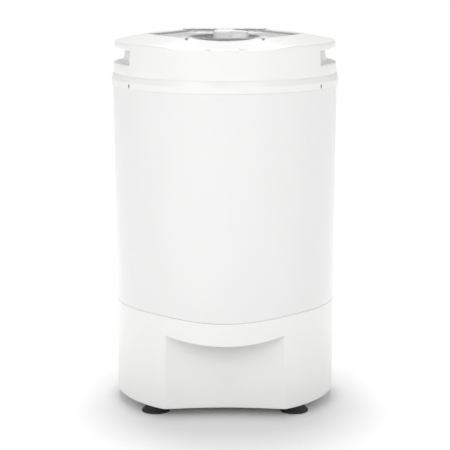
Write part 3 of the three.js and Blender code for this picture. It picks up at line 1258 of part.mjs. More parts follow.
// The sheathed cable from the interlock down between tub and shell, round to the left and in to the arm.
function brakeCable() {
  const onCircle = (share, z) => {
    const angle = THREE.MathUtils.lerp(CABLE_TOP_ANGLE, CABLE_LOW_ANGLE, share);
    return new THREE.Vector3(CABLE_CIRCLE * Math.cos(angle), CABLE_CIRCLE * Math.sin(angle), z);
  };
  const top = SWITCH_LOW - SEAT_GAP;
  const low = TUB_UNDERSIDE - CABLE_BEND / 2;
  const fallen = (share) => top - share * (top - low);
  const route = [
    onCircle(0, top),
    onCircle(0, fallen(0.065)),
    onCircle(0.15, fallen(0.23)),
    onCircle(0.5, fallen(0.5)),
    onCircle(0.85, fallen(0.74)),
    onCircle(1, fallen(0.88)),
    onCircle(1, fallen(0.98)),
    onCircle(1, fallen(1.01)),
    new THREE.Vector3(CABLE_BEND - CABLE_CIRCLE, STOP_Y + 1, (low + 2 * ARM_MIDDLE) / 3),
    new THREE.Vector3(2 * CABLE_BEND - CABLE_CIRCLE, STOP_Y, ARM_MIDDLE + 1),
    new THREE.Vector3(STOP_X[0] - 4, STOP_Y, ARM_MIDDLE),
    new THREE.Vector3(STOP_X[0] + 4, STOP_Y, ARM_MIDDLE),
  ];
  return tube(new THREE.CatmullRomCurve3(route, false, "centripetal"), CABLE_RADIUS, 34, 6);
}

piece("brake_disc", brakeDisc(), CAST);
piece("brake_arm", brakeArm(), ZINC);
piece("brake_lining", brakeLining(), LINING);
piece("brake_pivot", brakePivot(), STEEL);
piece("brake_spring", brakeSpring(), STEEL);
piece("brake_cable", brakeCable(), BLACK);

// ---------------------------------------------------------------- lid and its hinge

const LID_APOTHEM = MOUTH_APOTHEM - LID_GAP;
const LID_TOP = DECK_LEVEL - 0.8;
const FACET_TOP = LID_TOP - LID_STEP;
const DISH_EDGE = FACET_TOP - LID_FALL;
const DISH_LEVEL = DISH_EDGE - DISH_STEP;
const WELL_LEVEL = DISH_LEVEL - WELL_DEPTH;
const HUB_BORE = SPINDLE_RADIUS + RUN_GAP;
const WELL_UNDERSIDE = WELL_LEVEL - LID_THICKNESS;

// The lid: a flat six-sided border, facets that fall to a round dish, and a well for the grip.
function lid() {
  const border = LID_APOTHEM - LID_BORDER;
  const inner = LID_THICKNESS;
  const shape = loopLoft(
    [
      hexLoop(LID_APOTHEM, SEAT_LEVEL + SEAT_GAP),
      hexLoop(LID_APOTHEM, LID_TOP),
      hexLoop(border, LID_TOP),
      hexLoop(border - 1, FACET_TOP),
      circleLoop(DISH_RADIUS, DISH_EDGE),
      circleLoop(DISH_RADIUS - 1.5, DISH_LEVEL),
      circleLoop(WELL_RADIUS, DISH_LEVEL - 0.4),
      circleLoop(WELL_RADIUS - 1.5, WELL_LEVEL),
      circleLoop(HUB_BORE, WELL_LEVEL),
      circleLoop(HUB_BORE, WELL_UNDERSIDE),
      circleLoop(WELL_RADIUS + 0.5, WELL_UNDERSIDE),
      circleLoop(WELL_RADIUS + 1.5, DISH_LEVEL - inner),
      circleLoop(DISH_RADIUS + 0.5, DISH_LEVEL - inner),
      circleLoop(DISH_RADIUS + 1.5, DISH_EDGE - inner),
      hexLoop(border - 3, FACET_TOP - inner),
      hexLoop(LID_APOTHEM - inner, LID_TOP - inner),
      hexLoop(LID_APOTHEM - inner, SEAT_LEVEL + SEAT_GAP),
    ],
    36,
  );
  const barrel = rodBetween(
    new THREE.Vector3(-HINGE_HALF_LENGTH, HINGE_Y, HINGE_LEVEL),
    new THREE.Vector3(HINGE_HALF_LENGTH, HINGE_Y, HINGE_LEVEL),
    HINGE_RADIUS,
    SMALL,
  );
  const web = block(
    [-HINGE_HALF_LENGTH + 10, HINGE_HALF_LENGTH - 10],
    [LID_APOTHEM - inner - 1, HINGE_Y],
    [LID_TOP - LID_THICKNESS, LID_TOP],
  );
  const pinBore = rodBetween(
    new THREE.Vector3(-HINGE_HALF_LENGTH - 1, HINGE_Y, HINGE_LEVEL),
    new THREE.Vector3(HINGE_HALF_LENGTH + 1, HINGE_Y, HINGE_LEVEL),
    HINGE_PIN_RADIUS + SEAT_GAP,
    TINY,
  );
  return cut(union(shape, barrel, web), pinBore);
}

const HINGE_OUT = HINGE_HALF_LENGTH + RUN_GAP + HINGE_END_LENGTH - 1;

// A tapered bearing at one end of the hinge, standing in the pocket behind the mouth.
function hingeBracket(side) {
  const inner = HINGE_HALF_LENGTH + RUN_GAP;
  const outline = [[0, inner], [HINGE_RADIUS, inner], [HINGE_RADIUS * 0.35, HINGE_OUT], [0, HINGE_OUT]];
  const taper = revolve(outline, SMALL);
  const cone = move(taper.rotate([0, 90, 0]), 0, HINGE_Y, HINGE_LEVEL);
  const floor = HINGE_LEVEL - HINGE_RADIUS - RUN_GAP + SEAT_GAP;
  const stand = block([inner, HINGE_OUT - 3], [HINGE_Y - 3, HINGE_Y + 3], [floor, HINGE_LEVEL]);
  const bore = rodBetween(
    new THREE.Vector3(inner - 1, HINGE_Y, HINGE_LEVEL),
    new THREE.Vector3(HINGE_OUT - 3, HINGE_Y, HINGE_LEVEL),
    HINGE_PIN_RADIUS + SEAT_GAP,
    TINY,
  );
  const right = cut(union(cone, stand), bore);
  return side > 0 ? right : right.mirror([1, 0, 0]);
}

const hingePin = () =>
  rodBetween(
    new THREE.Vector3(-HINGE_OUT + 4, HINGE_Y, HINGE_LEVEL),
    new THREE.Vector3(HINGE_OUT - 4, HINGE_Y, HINGE_LEVEL),
    HINGE_PIN_RADIUS,
    TINY,
  );

piece("lid", lid(), SMOKED);
piece("hinge_bracket_left", hingeBracket(-1), SMOKED);
piece("hinge_bracket_right", hingeBracket(1), SMOKED);
piece("hinge_pin", hingePin(), STEEL);

// ---------------------------------------------------------------- grip, spindle, bolt and interlock

const KNOB_LEVEL = WELL_LEVEL + RUN_GAP;
const KNOB_TOP = DECK_LEVEL + KNOB_RISE;
const PINION_RADIUS = BOLT_TRAVEL / (Math.PI / 2);
const GEAR_TOP = WELL_UNDERSIDE - 1.2;
const GEAR_LEVEL = GEAR_TOP - BOLT_THICKNESS;
const ROOT_RADIUS = PINION_RADIUS - TOOTH_DEPTH / 2;
const TIP_RADIUS = PINION_RADIUS + TOOTH_DEPTH / 2;
const RACK_PITCH = (TAU * PINION_RADIUS) / PINION_TEETH;

// The grip: a round hub with a pointer that falls to its tip, hollowed for the fingers in front.
function knob() {
  const pointer = polygon([
    [0, -KNOB_RADIUS + 1.5],
    [KNOB_POINTER - 3, -KNOB_TIP_WIDTH / 2],
    [KNOB_POINTER, -KNOB_TIP_WIDTH / 2 + 4],
    [KNOB_POINTER, KNOB_TIP_WIDTH / 2 - 4],
    [KNOB_POINTER - 3, KNOB_TIP_WIDTH / 2],
    [0, KNOB_RADIUS - 1.5],
  ]);
  const dome = revolve(
    [
      [0, KNOB_LEVEL],
      [KNOB_RADIUS, KNOB_LEVEL],
      [KNOB_RADIUS, KNOB_TOP - 3],
      [KNOB_RADIUS - 2, KNOB_TOP - 0.8],
      [KNOB_RADIUS - 6, KNOB_TOP],
      [0, KNOB_TOP],
    ],
    INNER,
  );
  const wedgeSide = (y) => {
    const row = (hub, tip) => [new THREE.Vector3(0, y, hub), new THREE.Vector3(KNOB_POINTER + 1, y, tip)];
    return [row(KNOB_LEVEL, KNOB_LEVEL), row(KNOB_TOP - 0.5, KNOB_TOP - KNOB_TIP_FALL)];
  };
  const wedge = slab(wedgeSide(-KNOB_RADIUS), wedgeSide(KNOB_RADIUS));
  const fingerHollow = rodBetween(
    new THREE.Vector3(KNOB_RADIUS * 0.9, -KNOB_RADIUS - 8, KNOB_TOP - 4),
    new THREE.Vector3(KNOB_POINTER + 6, -KNOB_RADIUS - 3, KNOB_TOP - 4),
    FINGER_RADIUS,
    INNER,
  );
  const body = cut(union(dome, prism(pointer, KNOB_LEVEL, KNOB_TOP + 1).intersect(wedge)), fingerHollow);
  const socket = rod(SPINDLE_RADIUS + SEAT_GAP, KNOB_LEVEL - 1, KNOB_LEVEL + 9, SMALL);
  return turnZ(cut(body, socket), KNOB_REST_ANGLE);
}

// A tooth of the pinion: a slim wedge that points along an angle.
function pinionTooth(angle) {
  const outline = polygon([
    [ROOT_RADIUS - RUN_GAP, -TOOTH_HALF_WIDTH - TOOTH_FLARE],
    [TIP_RADIUS, -TOOTH_HALF_WIDTH + TOOTH_TAPER],
    [TIP_RADIUS, TOOTH_HALF_WIDTH - TOOTH_TAPER],
    [ROOT_RADIUS - RUN_GAP, TOOTH_HALF_WIDTH + TOOTH_FLARE],
  ]);
  return turnZ(prism(outline, GEAR_LEVEL, GEAR_TOP), angle);
}

const spindle = () =>
  union(
    rod(SPINDLE_RADIUS, GEAR_LEVEL - 1.2, KNOB_LEVEL + 8.7, SMALL),
    rod(ROOT_RADIUS, GEAR_LEVEL, GEAR_TOP, 16),
    ...around(PINION_TEETH, pinionTooth),
  );

const LEDGE_INNER = MOUTH_APOTHEM - MOUTH_LEDGE;
const BOLT_TIP = -(LEDGE_INNER + BOLT_HOLD - BOLT_TRAVEL);
const RACK_END = -14;
const RACK_LENGTH = 14;
const RACK_BACK = 3.4; // behind the rack's teeth
const NOSE_LENGTH = 8;
const RACK_X = PINION_RADIUS + TOOTH_DEPTH / 2 + RUN_GAP;
const RACK_TIP = PINION_RADIUS - TOOTH_DEPTH / 2 + TOOTH_TAPER;

// The bolt: a flat bar with a raised nose in front and a rack that passes the pinion's right side.
function latchBolt() {
  const back = RACK_X + RACK_BACK;
  const bar = block([-BOLT_WIDTH / 2, back], [BOLT_TIP, RACK_END], [GEAR_LEVEL, GEAR_TOP]);
  const arm = block([RACK_X, back], [RACK_END - 1, RACK_LENGTH], [GEAR_LEVEL, GEAR_TOP]);
  const nose = block([-BOLT_WIDTH / 2, BOLT_WIDTH / 2], [BOLT_TIP, BOLT_TIP + NOSE_LENGTH],
    [PUSH_LEVEL - PUSHROD_RADIUS, SEAT_LEVEL - TOP_WALL - SEAT_GAP]);
  const first = Math.ceil(RACK_END / RACK_PITCH);
  const last = Math.floor(RACK_LENGTH / RACK_PITCH) - 1;
  const teeth = Array.from({ length: last - first + 1 }, (_, i) => {
    const y = (first + i + 0.5) * RACK_PITCH;
    return prism(
      polygon([
        [RACK_X + TOOTH_FLARE, y - TOOTH_HALF_WIDTH - TOOTH_FLARE],
        [RACK_X + TOOTH_FLARE, y + TOOTH_HALF_WIDTH + TOOTH_FLARE],
        [RACK_TIP, y + TOOTH_HALF_WIDTH - TOOTH_TAPER],
        [RACK_TIP, y - TOOTH_HALF_WIDTH + TOOTH_TAPER],
      ]),
      GEAR_LEVEL,
      GEAR_TOP,
    );
  });
  return union(bar, arm, nose, ...teeth);
}

// The channel under the lid that carries the bolt and the foot of the spindle.
function latchHousing() {
  const wall = 1.6;
  const left = -BOLT_WIDTH / 2 - RUN_GAP;
  const right = RACK_X + RACK_BACK + RUN_GAP;
  const low = GEAR_LEVEL - RUN_GAP - 2;
  const top = WELL_UNDERSIDE - SEAT_GAP;
  const front = BOLT_TIP + 1.5 * NOSE_LENGTH;
  const rear = RACK_LENGTH + BOLT_TRAVEL;
  const outer = block([left - wall, right + wall], [front, rear], [low, top]);
  const hollow = block([left, right], [front - 1, rear - wall], [low + 2, top + 1]);
  const seatY = -(DISH_RADIUS + 1.5 + LEDGE_INNER) / 2;
  const tabs = [left - wall, right].map((x) =>
    block([x, x + wall], [seatY - 5, seatY + 5], [low, DISH_EDGE - LID_THICKNESS - SEAT_GAP]),
  );
  const footHole = rod(SPINDLE_RADIUS + SEAT_GAP, low - 1, low + 3, SMALL);
  return cut(union(cut(outer, hollow), ...tabs), footHole);
}

const PUSH_TIP = -(LEDGE_INNER + BOLT_HOLD + SEAT_GAP - PUSHROD_TRAVEL);
const PUSH_END = -(SWITCH_INNER + 6);

function interlockPushrod() {
  const at = (y) => new THREE.Vector3(0, y, PUSH_LEVEL);
  return rodBetween(at(PUSH_TIP), at(PUSH_END), PUSHROD_RADIUS, SMALL);
}

// The interlock's housing outside the collar: the pushrod works in it, and the brake cable hangs from it.
function interlockSwitch() {
  const body = block(SWITCH_SPAN, [-SWITCH_OUTER, -SWITCH_INNER], [SWITCH_LOW, SWITCH_TOP]);
  const well = rodBetween(
    new THREE.Vector3(0, -SWITCH_INNER + 1, PUSH_LEVEL),
    new THREE.Vector3(0, PUSH_END - PUSHROD_TRAVEL - 1, PUSH_LEVEL),
    PUSHROD_RADIUS + SEAT_GAP,
    SMALL,
  );
  return cut(body, well);
}

piece("knob", knob(), WHITE);
piece("spindle", spindle(), STEEL);
piece("latch_bolt", latchBolt(), ZINC);
piece("latch_housing", latchHousing(), GREY);
piece("interlock_pushrod", interlockPushrod(), GREY);
piece("interlock_switch", interlockSwitch(), BLACK);

export default spinDryer;
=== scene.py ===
"""The look of a laundry spin dryer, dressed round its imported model.

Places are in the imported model's frame: +Z up, the front towards -Y, and the origin on the floor, on the
drum's axis. Shapes are worked out in millimetres and become metres where a mesh is made.
"""

import json
import math

import bmesh
import bpy
import numpy as np
from mathutils import Matrix, Vector

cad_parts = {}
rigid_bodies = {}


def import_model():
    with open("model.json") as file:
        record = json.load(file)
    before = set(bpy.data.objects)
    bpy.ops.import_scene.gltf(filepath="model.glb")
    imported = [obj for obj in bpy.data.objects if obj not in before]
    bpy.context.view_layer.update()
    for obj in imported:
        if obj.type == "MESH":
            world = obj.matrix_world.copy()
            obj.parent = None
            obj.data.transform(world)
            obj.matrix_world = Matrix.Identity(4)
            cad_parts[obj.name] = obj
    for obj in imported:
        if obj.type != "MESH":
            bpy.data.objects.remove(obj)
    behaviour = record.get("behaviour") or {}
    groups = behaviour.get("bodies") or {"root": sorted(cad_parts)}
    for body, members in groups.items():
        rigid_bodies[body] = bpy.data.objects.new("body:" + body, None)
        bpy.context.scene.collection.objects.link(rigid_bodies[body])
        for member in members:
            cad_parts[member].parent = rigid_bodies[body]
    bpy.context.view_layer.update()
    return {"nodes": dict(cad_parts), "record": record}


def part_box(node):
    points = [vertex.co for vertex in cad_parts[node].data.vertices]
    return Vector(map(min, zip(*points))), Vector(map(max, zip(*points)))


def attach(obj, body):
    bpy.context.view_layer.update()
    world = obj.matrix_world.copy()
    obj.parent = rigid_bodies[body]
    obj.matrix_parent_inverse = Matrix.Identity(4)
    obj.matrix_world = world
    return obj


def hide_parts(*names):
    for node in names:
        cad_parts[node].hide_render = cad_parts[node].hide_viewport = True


for start_object in list(bpy.data.objects):
    bpy.data.objects.remove(start_object)

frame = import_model()
MM = 0.001
TAU = 2 * math.pi


def levels(node):
    """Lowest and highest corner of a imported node, in millimetres."""
    low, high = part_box(node)
    return low / MM, high / MM


# ---------------------------------------------------------------- sizes, in millimetres

BASE_LEVEL = levels("base_housing")[0].z
SEAM_LEVEL = 165.0
BAND_LEVEL = levels("top_cover")[0].z
BAND_RADIUS = levels("top_cover")[1].x
SHELL_RADIUS = levels("outer_shell")[1].x
SEAM_RADIUS = SHELL_RADIUS - 0.6
BASE_RADIUS = SEAM_RADIUS - 1.2
LIP_RADIUS = SEAM_RADIUS - 2.8
WALL = 2.5
SEAM_GAP = 0.3
SEAM_DIP = 7.5
SEAM_DIP_REACH = math.radians(45)  # to each side of the front
SEAM_FADE = 90.0  # the height over which the shell takes up the seam's dip
LIP_HEIGHT = 7.0
SKIN_START = 4.0  # the plain skin starts this far below the seam's ledge
SHELL_LAP = 8.5  # the shell's edge inside the band

BAY_HALF_WIDTH = 91.0
BAY_SPREAD = 2.7  # how much wider each side is at its foot
BAY_LIP_MIDDLE = 107.0
BAY_LIP_RISE = 11.0
BAY_CEILING = 125.0
BAY_DEPTH_LOW = 36.0
BAY_DEPTH_HIGH = 61.0
CEILING_FADE = (0.8, 0.92)  # shares of the bay's half width over which its ceiling comes down to the lip
LIP_WALL = 3.0
LIP_SHARE = 0.4  # the lip takes no more than this share of a shallow bay
VENT_RADIUS = 70.0
VENT_EDGE = 0.5
FLOOR_CORNER = 2.2

LEDGE_LEVEL = BAND_LEVEL + 9.5
WALL_LEVEL = LEDGE_LEVEL + 9.0
WALL_RADIUS = SHELL_RADIUS - 0.4
RIM_LEVEL = BAND_LEVEL + 68.3
RIM_RADIUS = SHELL_RADIUS - 2.8
RIM_START = RIM_LEVEL - 6.0  # the rim's rounding starts here
RIM_TURN = 4.2  # its centre lies this far below the rim
RIM_ACROSS, RIM_RISE = 3.4, 4.0  # half axes of the rounding
RIM_SWEEP = 0.93  # the share of a quarter turn that it takes
COVER_WALL = 2.4
WALL_TOP_RADIUS = RIM_RADIUS + 0.4
DECK_LEVEL = levels("top_cover")[1].z
DECK_RADIUS = RIM_RADIUS - 2.8
DECK_START = RIM_RADIUS - 3.6  # the deck's outermost row of points
GRIP_LOW = BAND_LEVEL + 35.0
GRIP_HIGH = GRIP_LOW + 22.0
GRIP_INNER_LOW = SHELL_RADIUS - 16.0
GRIP_INNER_HIGH = SHELL_RADIUS - 19.5
GRIP_HALF_ANGLE = math.radians(33.5)
MOUTH_APOTHEM = 106.0
MOUTH_CORNER = MOUTH_APOTHEM / math.cos(math.pi / 6)
MOUTH_BORDER = MOUTH_CORNER + 1
FINE_DECK = MOUTH_CORNER + 15  # the deck's rows are closer inside it
SEAT_LEVEL = DECK_LEVEL - 6.3
MOUTH_LEDGE = 7.0
COLLAR_INNER = 143.7
COLLAR_RADIUS = 146.5
COLLAR_LEVEL = levels("tub_seal")[1].z + SEAM_GAP
SCOOP_HALF_WIDTH = 52.0
SCOOP_DEPTH = 4.5
SCOOP_FADE = math.radians(42)
NOTCH_DEPTH = 5.2
NOTCH_HALF_WIDTH = 3.5
NOTCH_LENGTH = 16.0
NOTCH_X = MOUTH_APOTHEM * math.tan(math.pi / 6) - 4.0
TOP_WALL = 2.8

HINGE_Y = 114.0
HINGE_LEVEL = DECK_LEVEL - 3.5
HINGE_RADIUS = 5.4
HINGE_HALF_LENGTH = 68.5
HINGE_END = levels("hinge_bracket_right")[1].x
LID_APOTHEM = MOUTH_APOTHEM - 1.0
LID_WALL = 2.6
LID_TOP = DECK_LEVEL - 0.8
LID_FOOT = SEAT_LEVEL + 0.3
LID_BORDER = LID_APOTHEM - 5.0
FACET_TOP = LID_TOP - 1.4
DISH_RADIUS = 56.0
DISH_EDGE = FACET_TOP - 1.6
DISH_LEVEL = DISH_EDGE - 3.4
WELL_RADIUS = 40.0
WELL_LEVEL = DISH_LEVEL - 4.5
HUB_BORE = 4.0
POCKET_GAP = 0.6
POCKET_BEVEL = 1.2
LINER_WALL = 1.6
SUNK = 1.2  # how far hidden walls reach into the deck's wall
AXIS = 0.01  # a turned piece ends this near its axis
WELD = 0.02  # points nearer than this become one


# ---------------------------------------------------------------- meshes


def ease(low, high, value):
    """0 below low, 1 above high, and smooth between."""
    share = min(max((value - low) / (high - low), 0.0), 1.0)
    return share * share * (3 - 2 * share)


def shares(count, length, fine=0.6):
    """Shares of a length from 0 to 1: close together at its ends and even between."""
    if length < fine * (count + 2):
        return np.linspace(0, 1, count)
    step = fine / length
    inner = np.linspace(2 * step, 1 - 2 * step, count - 4)
    return np.concatenate([[0, step], inner, [1 - step, 1]])


def route(corners, counts, fine=0.6):
    """Points along the straight stretches between corners."""
    corners = [np.array(c, float) for c in corners]
    points = [corners[0]]
    for start, end, count in zip(corners, corners[1:], counts):
        for share in shares(count, float(np.linalg.norm(end - start)), fine)[1:]:
            points.append(start + (end - start) * share)
    return points


def piece_from(name, form):
    """A piece at the origin from a bmesh whose points are in millimetres."""
    bmesh.ops.remove_doubles(form, verts=form.verts, dist=WELD)
    bmesh.ops.dissolve_degenerate(form, edges=form.edges, dist=0.005)
    bmesh.ops.recalc_face_normals(form, faces=form.faces)
    bmesh.ops.scale(form, vec=(MM, MM, MM), verts=form.verts)
    mesh = bpy.data.meshes.new(name)
    form.to_mesh(mesh)
    form.free()
    made = bpy.data.objects.new(name, mesh)
    bpy.context.scene.collection.objects.link(made)
    return made


def lofted(name, columns, closed=True):
    """A mesh through columns of points that stand round an axis; closed joins each column's ends too."""
    grid = np.array(columns, float)
    count, rows = grid.shape[:2]
    form = bmesh.new()
    points = [form.verts.new(p) for p in grid.reshape(-1, 3)]
    last = rows if closed else rows - 1
    for i in range(count):
        here, there = i * rows, (i + 1) % count * rows
        for j in range(last):
            k = (j + 1) % rows
            form.faces.new((points[here + j], points[there + j], points[there + k], points[here + k]))
    return piece_from(name, form)


def soften(piece, sharp=math.radians(20), reach=2, rounds=3):
    """Rounds the edges: points within reach of a crease move towards their neighbours."""
    form = bmesh.new()
    form.from_mesh(piece.data)
    creases = [e for e in form.edges if len(e.link_faces) == 2 and e.calc_face_angle(0) > sharp]
    near = {v for e in creases for v in e.verts}
    for _ in range(reach - 1):
        near |= {e.other_vert(v) for v in near for e in v.link_edges}
    chosen = sorted((v for v in near if not v.is_boundary), key=lambda v: v.index)
    for _ in range(rounds):
        bmesh.ops.smooth_vert(
            form, verts=chosen, factor=0.5, use_axis_x=True, use_axis_y=True, use_axis_z=True)
    form.to_mesh(piece.data)
    form.free()
    return piece


def smooth(piece, angle=38):
    """Shades a piece smooth, apart from edges sharper than an angle in degrees."""
    piece.data.shade_smooth()
    piece.data.set_sharp_from_angle(angle=math.radians(angle))
    return piece


def turned(name, profile, counts, columns=160, bend=None, centre=(0, 0), fine=0.6):
    """A closed profile of (radius, height) corners turned about Z; bend moves a point's height."""
    section = route([*profile, profile[0]], counts, fine)[:-1]
    made = []
    for angle in np.linspace(0, TAU, columns, endpoint=False):
        column = []
        for radius, z in section:
            x, y = radius * math.cos(angle), radius * math.sin(angle)
            column.append((x + centre[0], y + centre[1], z + (bend(x, y, z) if bend else 0)))
        made.append(column)
    return lofted(name, made)


def finished(piece, body, slot, finish, *nodes):
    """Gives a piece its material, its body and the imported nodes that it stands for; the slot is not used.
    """
    piece.data.materials.clear()
    piece.data.materials.append(finish)
    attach(piece, body)
    if nodes:
        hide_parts(*nodes)
    return piece


def settle(piece):
    """Turns a piece and its modifiers into a plain mesh."""
    done = bpy.data.meshes.new_from_object(piece.evaluated_get(bpy.context.evaluated_depsgraph_get()))
    piece.modifiers.clear()
    piece.data = done
    return piece


def joined(piece, other, operation, solver="EXACT"):
    """Joins, or cuts away, another closed piece and removes it."""
    boolean = piece.modifiers.new("join", "BOOLEAN")
    boolean.operation = operation
    boolean.solver = solver
    boolean.object = other
    bpy.context.view_layer.update()
    settle(piece)
    bpy.data.objects.remove(other)
    return piece


# ---------------------------------------------------------------- materials


class Wire:
    """An output socket in a finish; arithmetic on it adds Math nodes."""

    def __init__(self, finish, socket):
        self.finish = finish
        self.socket = socket

    def maths(self, operation, first, second):
        return self.finish.node("ShaderNodeMath", {"operation": operation}, {0: first, 1: second})

    def __add__(self, other):
        return self.maths("ADD", self, other)

    def __radd__(self, other):
        return self.maths("ADD", other, self)

    def __sub__(self, other):
        return self.maths("SUBTRACT", self, other)

    def __rsub__(self, other):
        return self.maths("SUBTRACT", other, self)

    def __mul__(self, other):
        return self.maths("MULTIPLY", self, other)

    def __rmul__(self, other):
        return self.maths("MULTIPLY", other, self)


class Finish:
    """A material in the making, with one Principled surface."""

    def __init__(self, name):
        self.material = bpy.data.materials.new(name)
        self.material.use_nodes = True
        self.tree = self.material.node_tree
        self.tree.nodes.clear()
        self.place = self.node("ShaderNodeTexCoord", output="Object")

    def node(self, kind, settings=None, inputs=None, output=0):
        """Adds a node: its settings are set first, then its sockets get values or links."""
        made = self.tree.nodes.new(kind)
        for key, value in (settings or {}).items():
            if key == "stops":
                for stop, (position, colour) in zip(made.color_ramp.elements, value):
                    stop.position = position
                    stop.color = colour
            else:
                setattr(made, key, value)
        for key, value in (inputs or {}).items():
            if isinstance(value, Wire):
                self.tree.links.new(value.socket, made.inputs[key])
            else:
                made.inputs[key].default_value = value
        return None if output is None else Wire(self, made.outputs[output])

    def stretched(self, scale):
        """The place on the object, scaled along its axes."""
        return self.node("ShaderNodeMapping", inputs={"Vector": self.place, "Scale": scale})

    def noise(self, scale, detail=2.0, rough=0.5, along=None):
        """Noise from 0 to 1, with features about 1/scale metres across."""
        place = self.stretched(along) if along else self.place
        sizes = {"Vector": place, "Scale": scale, "Detail": detail, "Roughness": rough}
        return self.node("ShaderNodeTexNoise", inputs=sizes)

    def mixed(self, factor, first, second):
        """Two colours mixed by a factor."""
        settings = {"data_type": "RGBA", "clamp_factor": True}
        colours = {0: factor, 6: colour(first), 7: colour(second)}
        return self.node("ShaderNodeMix", settings, colours, 2)

    def ramp(self, value, low, high):
        """0 below low, 1 above high."""
        ends = {"Value": value, "From Min": low, "From Max": high}
        return self.node("ShaderNodeMapRange", {"clamp": True}, ends)

    def bump(self, height, distance, strength=1.0):
        """A normal from heights from 0 to 1, times a distance in metres."""
        sizes = {"Height": height, "Distance": distance, "Strength": strength}
        return self.node("ShaderNodeBump", inputs=sizes, output="Normal")

    def surface(self, **inputs):
        """The closing shader; sockets are named with _ for a space."""
        sockets = {key.replace("_", " "): value for key, value in inputs.items()}
        shader = self.node("ShaderNodeBsdfPrincipled", inputs=sockets)
        self.node("ShaderNodeOutputMaterial", inputs={"Surface": shader}, output=None)
        return self.material


def colour(value):
    """A colour with its alpha, or a wire as it is."""
    return value if isinstance(value, Wire) else (*value, 1.0)


def white_plastic(name, tone=(0.785, 0.783, 0.775), gloss=0.3):
    """Moulded or painted white: faint flow marks in its tone and a fine orange peel on its gloss."""
    finish = Finish(name)
    flow = finish.noise(7, 3, along=(1, 1, 0.35))
    peel = finish.noise(420, 2)
    grain = finish.noise(2600, 1)
    darker = tuple(c * 0.975 for c in tone)
    base = finish.mixed(finish.ramp(flow, 0.35, 0.7), tone, darker)
    rough = gloss + finish.ramp(flow, 0.3, 0.7) * 0.05 + (grain - 0.5) * 0.05
    normal = finish.bump(peel + grain * 0.25, 0.00006)
    return finish.surface(
        Base_Color=base, Roughness=rough, Normal=normal, IOR=1.49, Coat_Weight=0.15, Coat_Roughness=0.12)


def smoked_plastic():
    """Translucent smoked plastic with fine scratches in its gloss."""
    finish = Finish("smoked_plastic")
    cloud = finish.noise(16, 2)
    scratch = finish.noise(300, 3, along=(1, 0.06, 1))
    rough = 0.08 + finish.ramp(scratch, 0.55, 0.8) * 0.1 + cloud * 0.03
    base = finish.mixed(cloud, (0.5, 0.51, 0.525), (0.44, 0.45, 0.465))
    normal = finish.bump(finish.noise(90, 2), 0.00005)
    return finish.surface(
        Base_Color=base, Roughness=rough, Normal=normal, IOR=1.5, Transmission_Weight=0.6,
        Coat_Weight=1.0, Coat_Roughness=0.05)


def rubber(name, tone=(0.018, 0.018, 0.019)):
    """Matt moulded rubber with dust caught in its grain."""
    finish = Finish(name)
    grain = finish.noise(900, 3)
    dust = finish.ramp(finish.noise(60, 4), 0.52, 0.8)
    base = finish.mixed(dust, tone, tuple(c * 2.2 + 0.01 for c in tone))
    return finish.surface(
        Base_Color=base, Roughness=0.62 + grain * 0.2, Normal=finish.bump(grain, 0.0002, 0.7))


def moulded(name, tone, gloss=0.45):
    """Plain moulded plastic with a spark-eroded texture."""
    finish = Finish(name)
    grain = finish.noise(1500, 2)
    cloud = finish.noise(20, 2)
    base = finish.mixed(cloud, tone, tuple(c * 0.9 for c in tone))
    return finish.surface(
        Base_Color=base, Roughness=gloss + grain * 0.15, Normal=finish.bump(grain, 0.0001, 0.8))


def brushed_metal(name, tone, along, gloss=0.28):
    """Steel with brush marks stretched along the short axes of along."""
    finish = Finish(name)
    marks = finish.noise(1, 3, along=along)
    cloud = finish.noise(14, 2)
    base = finish.mixed(marks, tone, tuple(c * 0.82 for c in tone))
    rough = gloss + marks * 0.14 + cloud * 0.05
    return finish.surface(
        Base_Color=base, Metallic=1.0, Roughness=rough, Normal=finish.bump(marks, 0.00003, 0.6))


def plated_metal(name, tone, gloss=0.35):
    """Plated or cast metal: mottled, with a fine bump."""
    finish = Finish(name)
    spangle = finish.noise(130, 3, 0.6)
    pits = finish.noise(900, 3)
    base = finish.mixed(finish.ramp(spangle, 0.3, 0.7), tone, tuple(c * 0.75 for c in tone))
    rough = gloss + spangle * 0.2
    return finish.surface(
        Base_Color=base, Metallic=1.0, Roughness=rough, Normal=finish.bump(pits, 0.0001, 0.7))


def banded_metal(name, tone, bands, gloss=0.4):
    """Laminations or wound wire: fine bands across Z."""
    finish = Finish(name)
    wave = finish.node(
        "ShaderNodeTexWave", {"bands_direction": "Z"},
        {"Vector": finish.place, "Scale": bands, "Distortion": 0.6, "Detail": 2.0})
    base = finish.mixed(wave, tone, tuple(c * 0.55 for c in tone))
    return finish.surface(
        Base_Color=base, Metallic=0.9, Roughness=gloss, Normal=finish.bump(wave, 0.0003, 0.8))


def lining_felt():
    """Pressed friction lining with bright flecks."""
    finish = Finish("brake_lining_finish")
    flecks = finish.ramp(finish.noise(700, 2), 0.6, 0.7)
    base = finish.mixed(flecks, (0.055, 0.042, 0.034), (0.2, 0.17, 0.12))
    return finish.surface(Base_Color=base, Roughness=0.85, Normal=finish.bump(flecks, 0.0002, 0.8))


GLOW_NEAR, GLOW_FAR = 0.21, 0.5  # metres from the middle of the floor


def pale_floor():
    """The plain studio floor: it glows a little away from the object, so that it stays white there."""
    finish = Finish("studio_floor")
    away = finish.node("ShaderNodeVectorMath", {"operation": "LENGTH"}, {0: finish.place}, "Value")
    glow = finish.mixed(finish.ramp(away, GLOW_NEAR, GLOW_FAR), (0, 0, 0), (0.42, 0.42, 0.42))
    return finish.surface(
        Base_Color=(0.86, 0.86, 0.86, 1), Roughness=0.9, Emission_Color=glow, Emission_Strength=1.0)


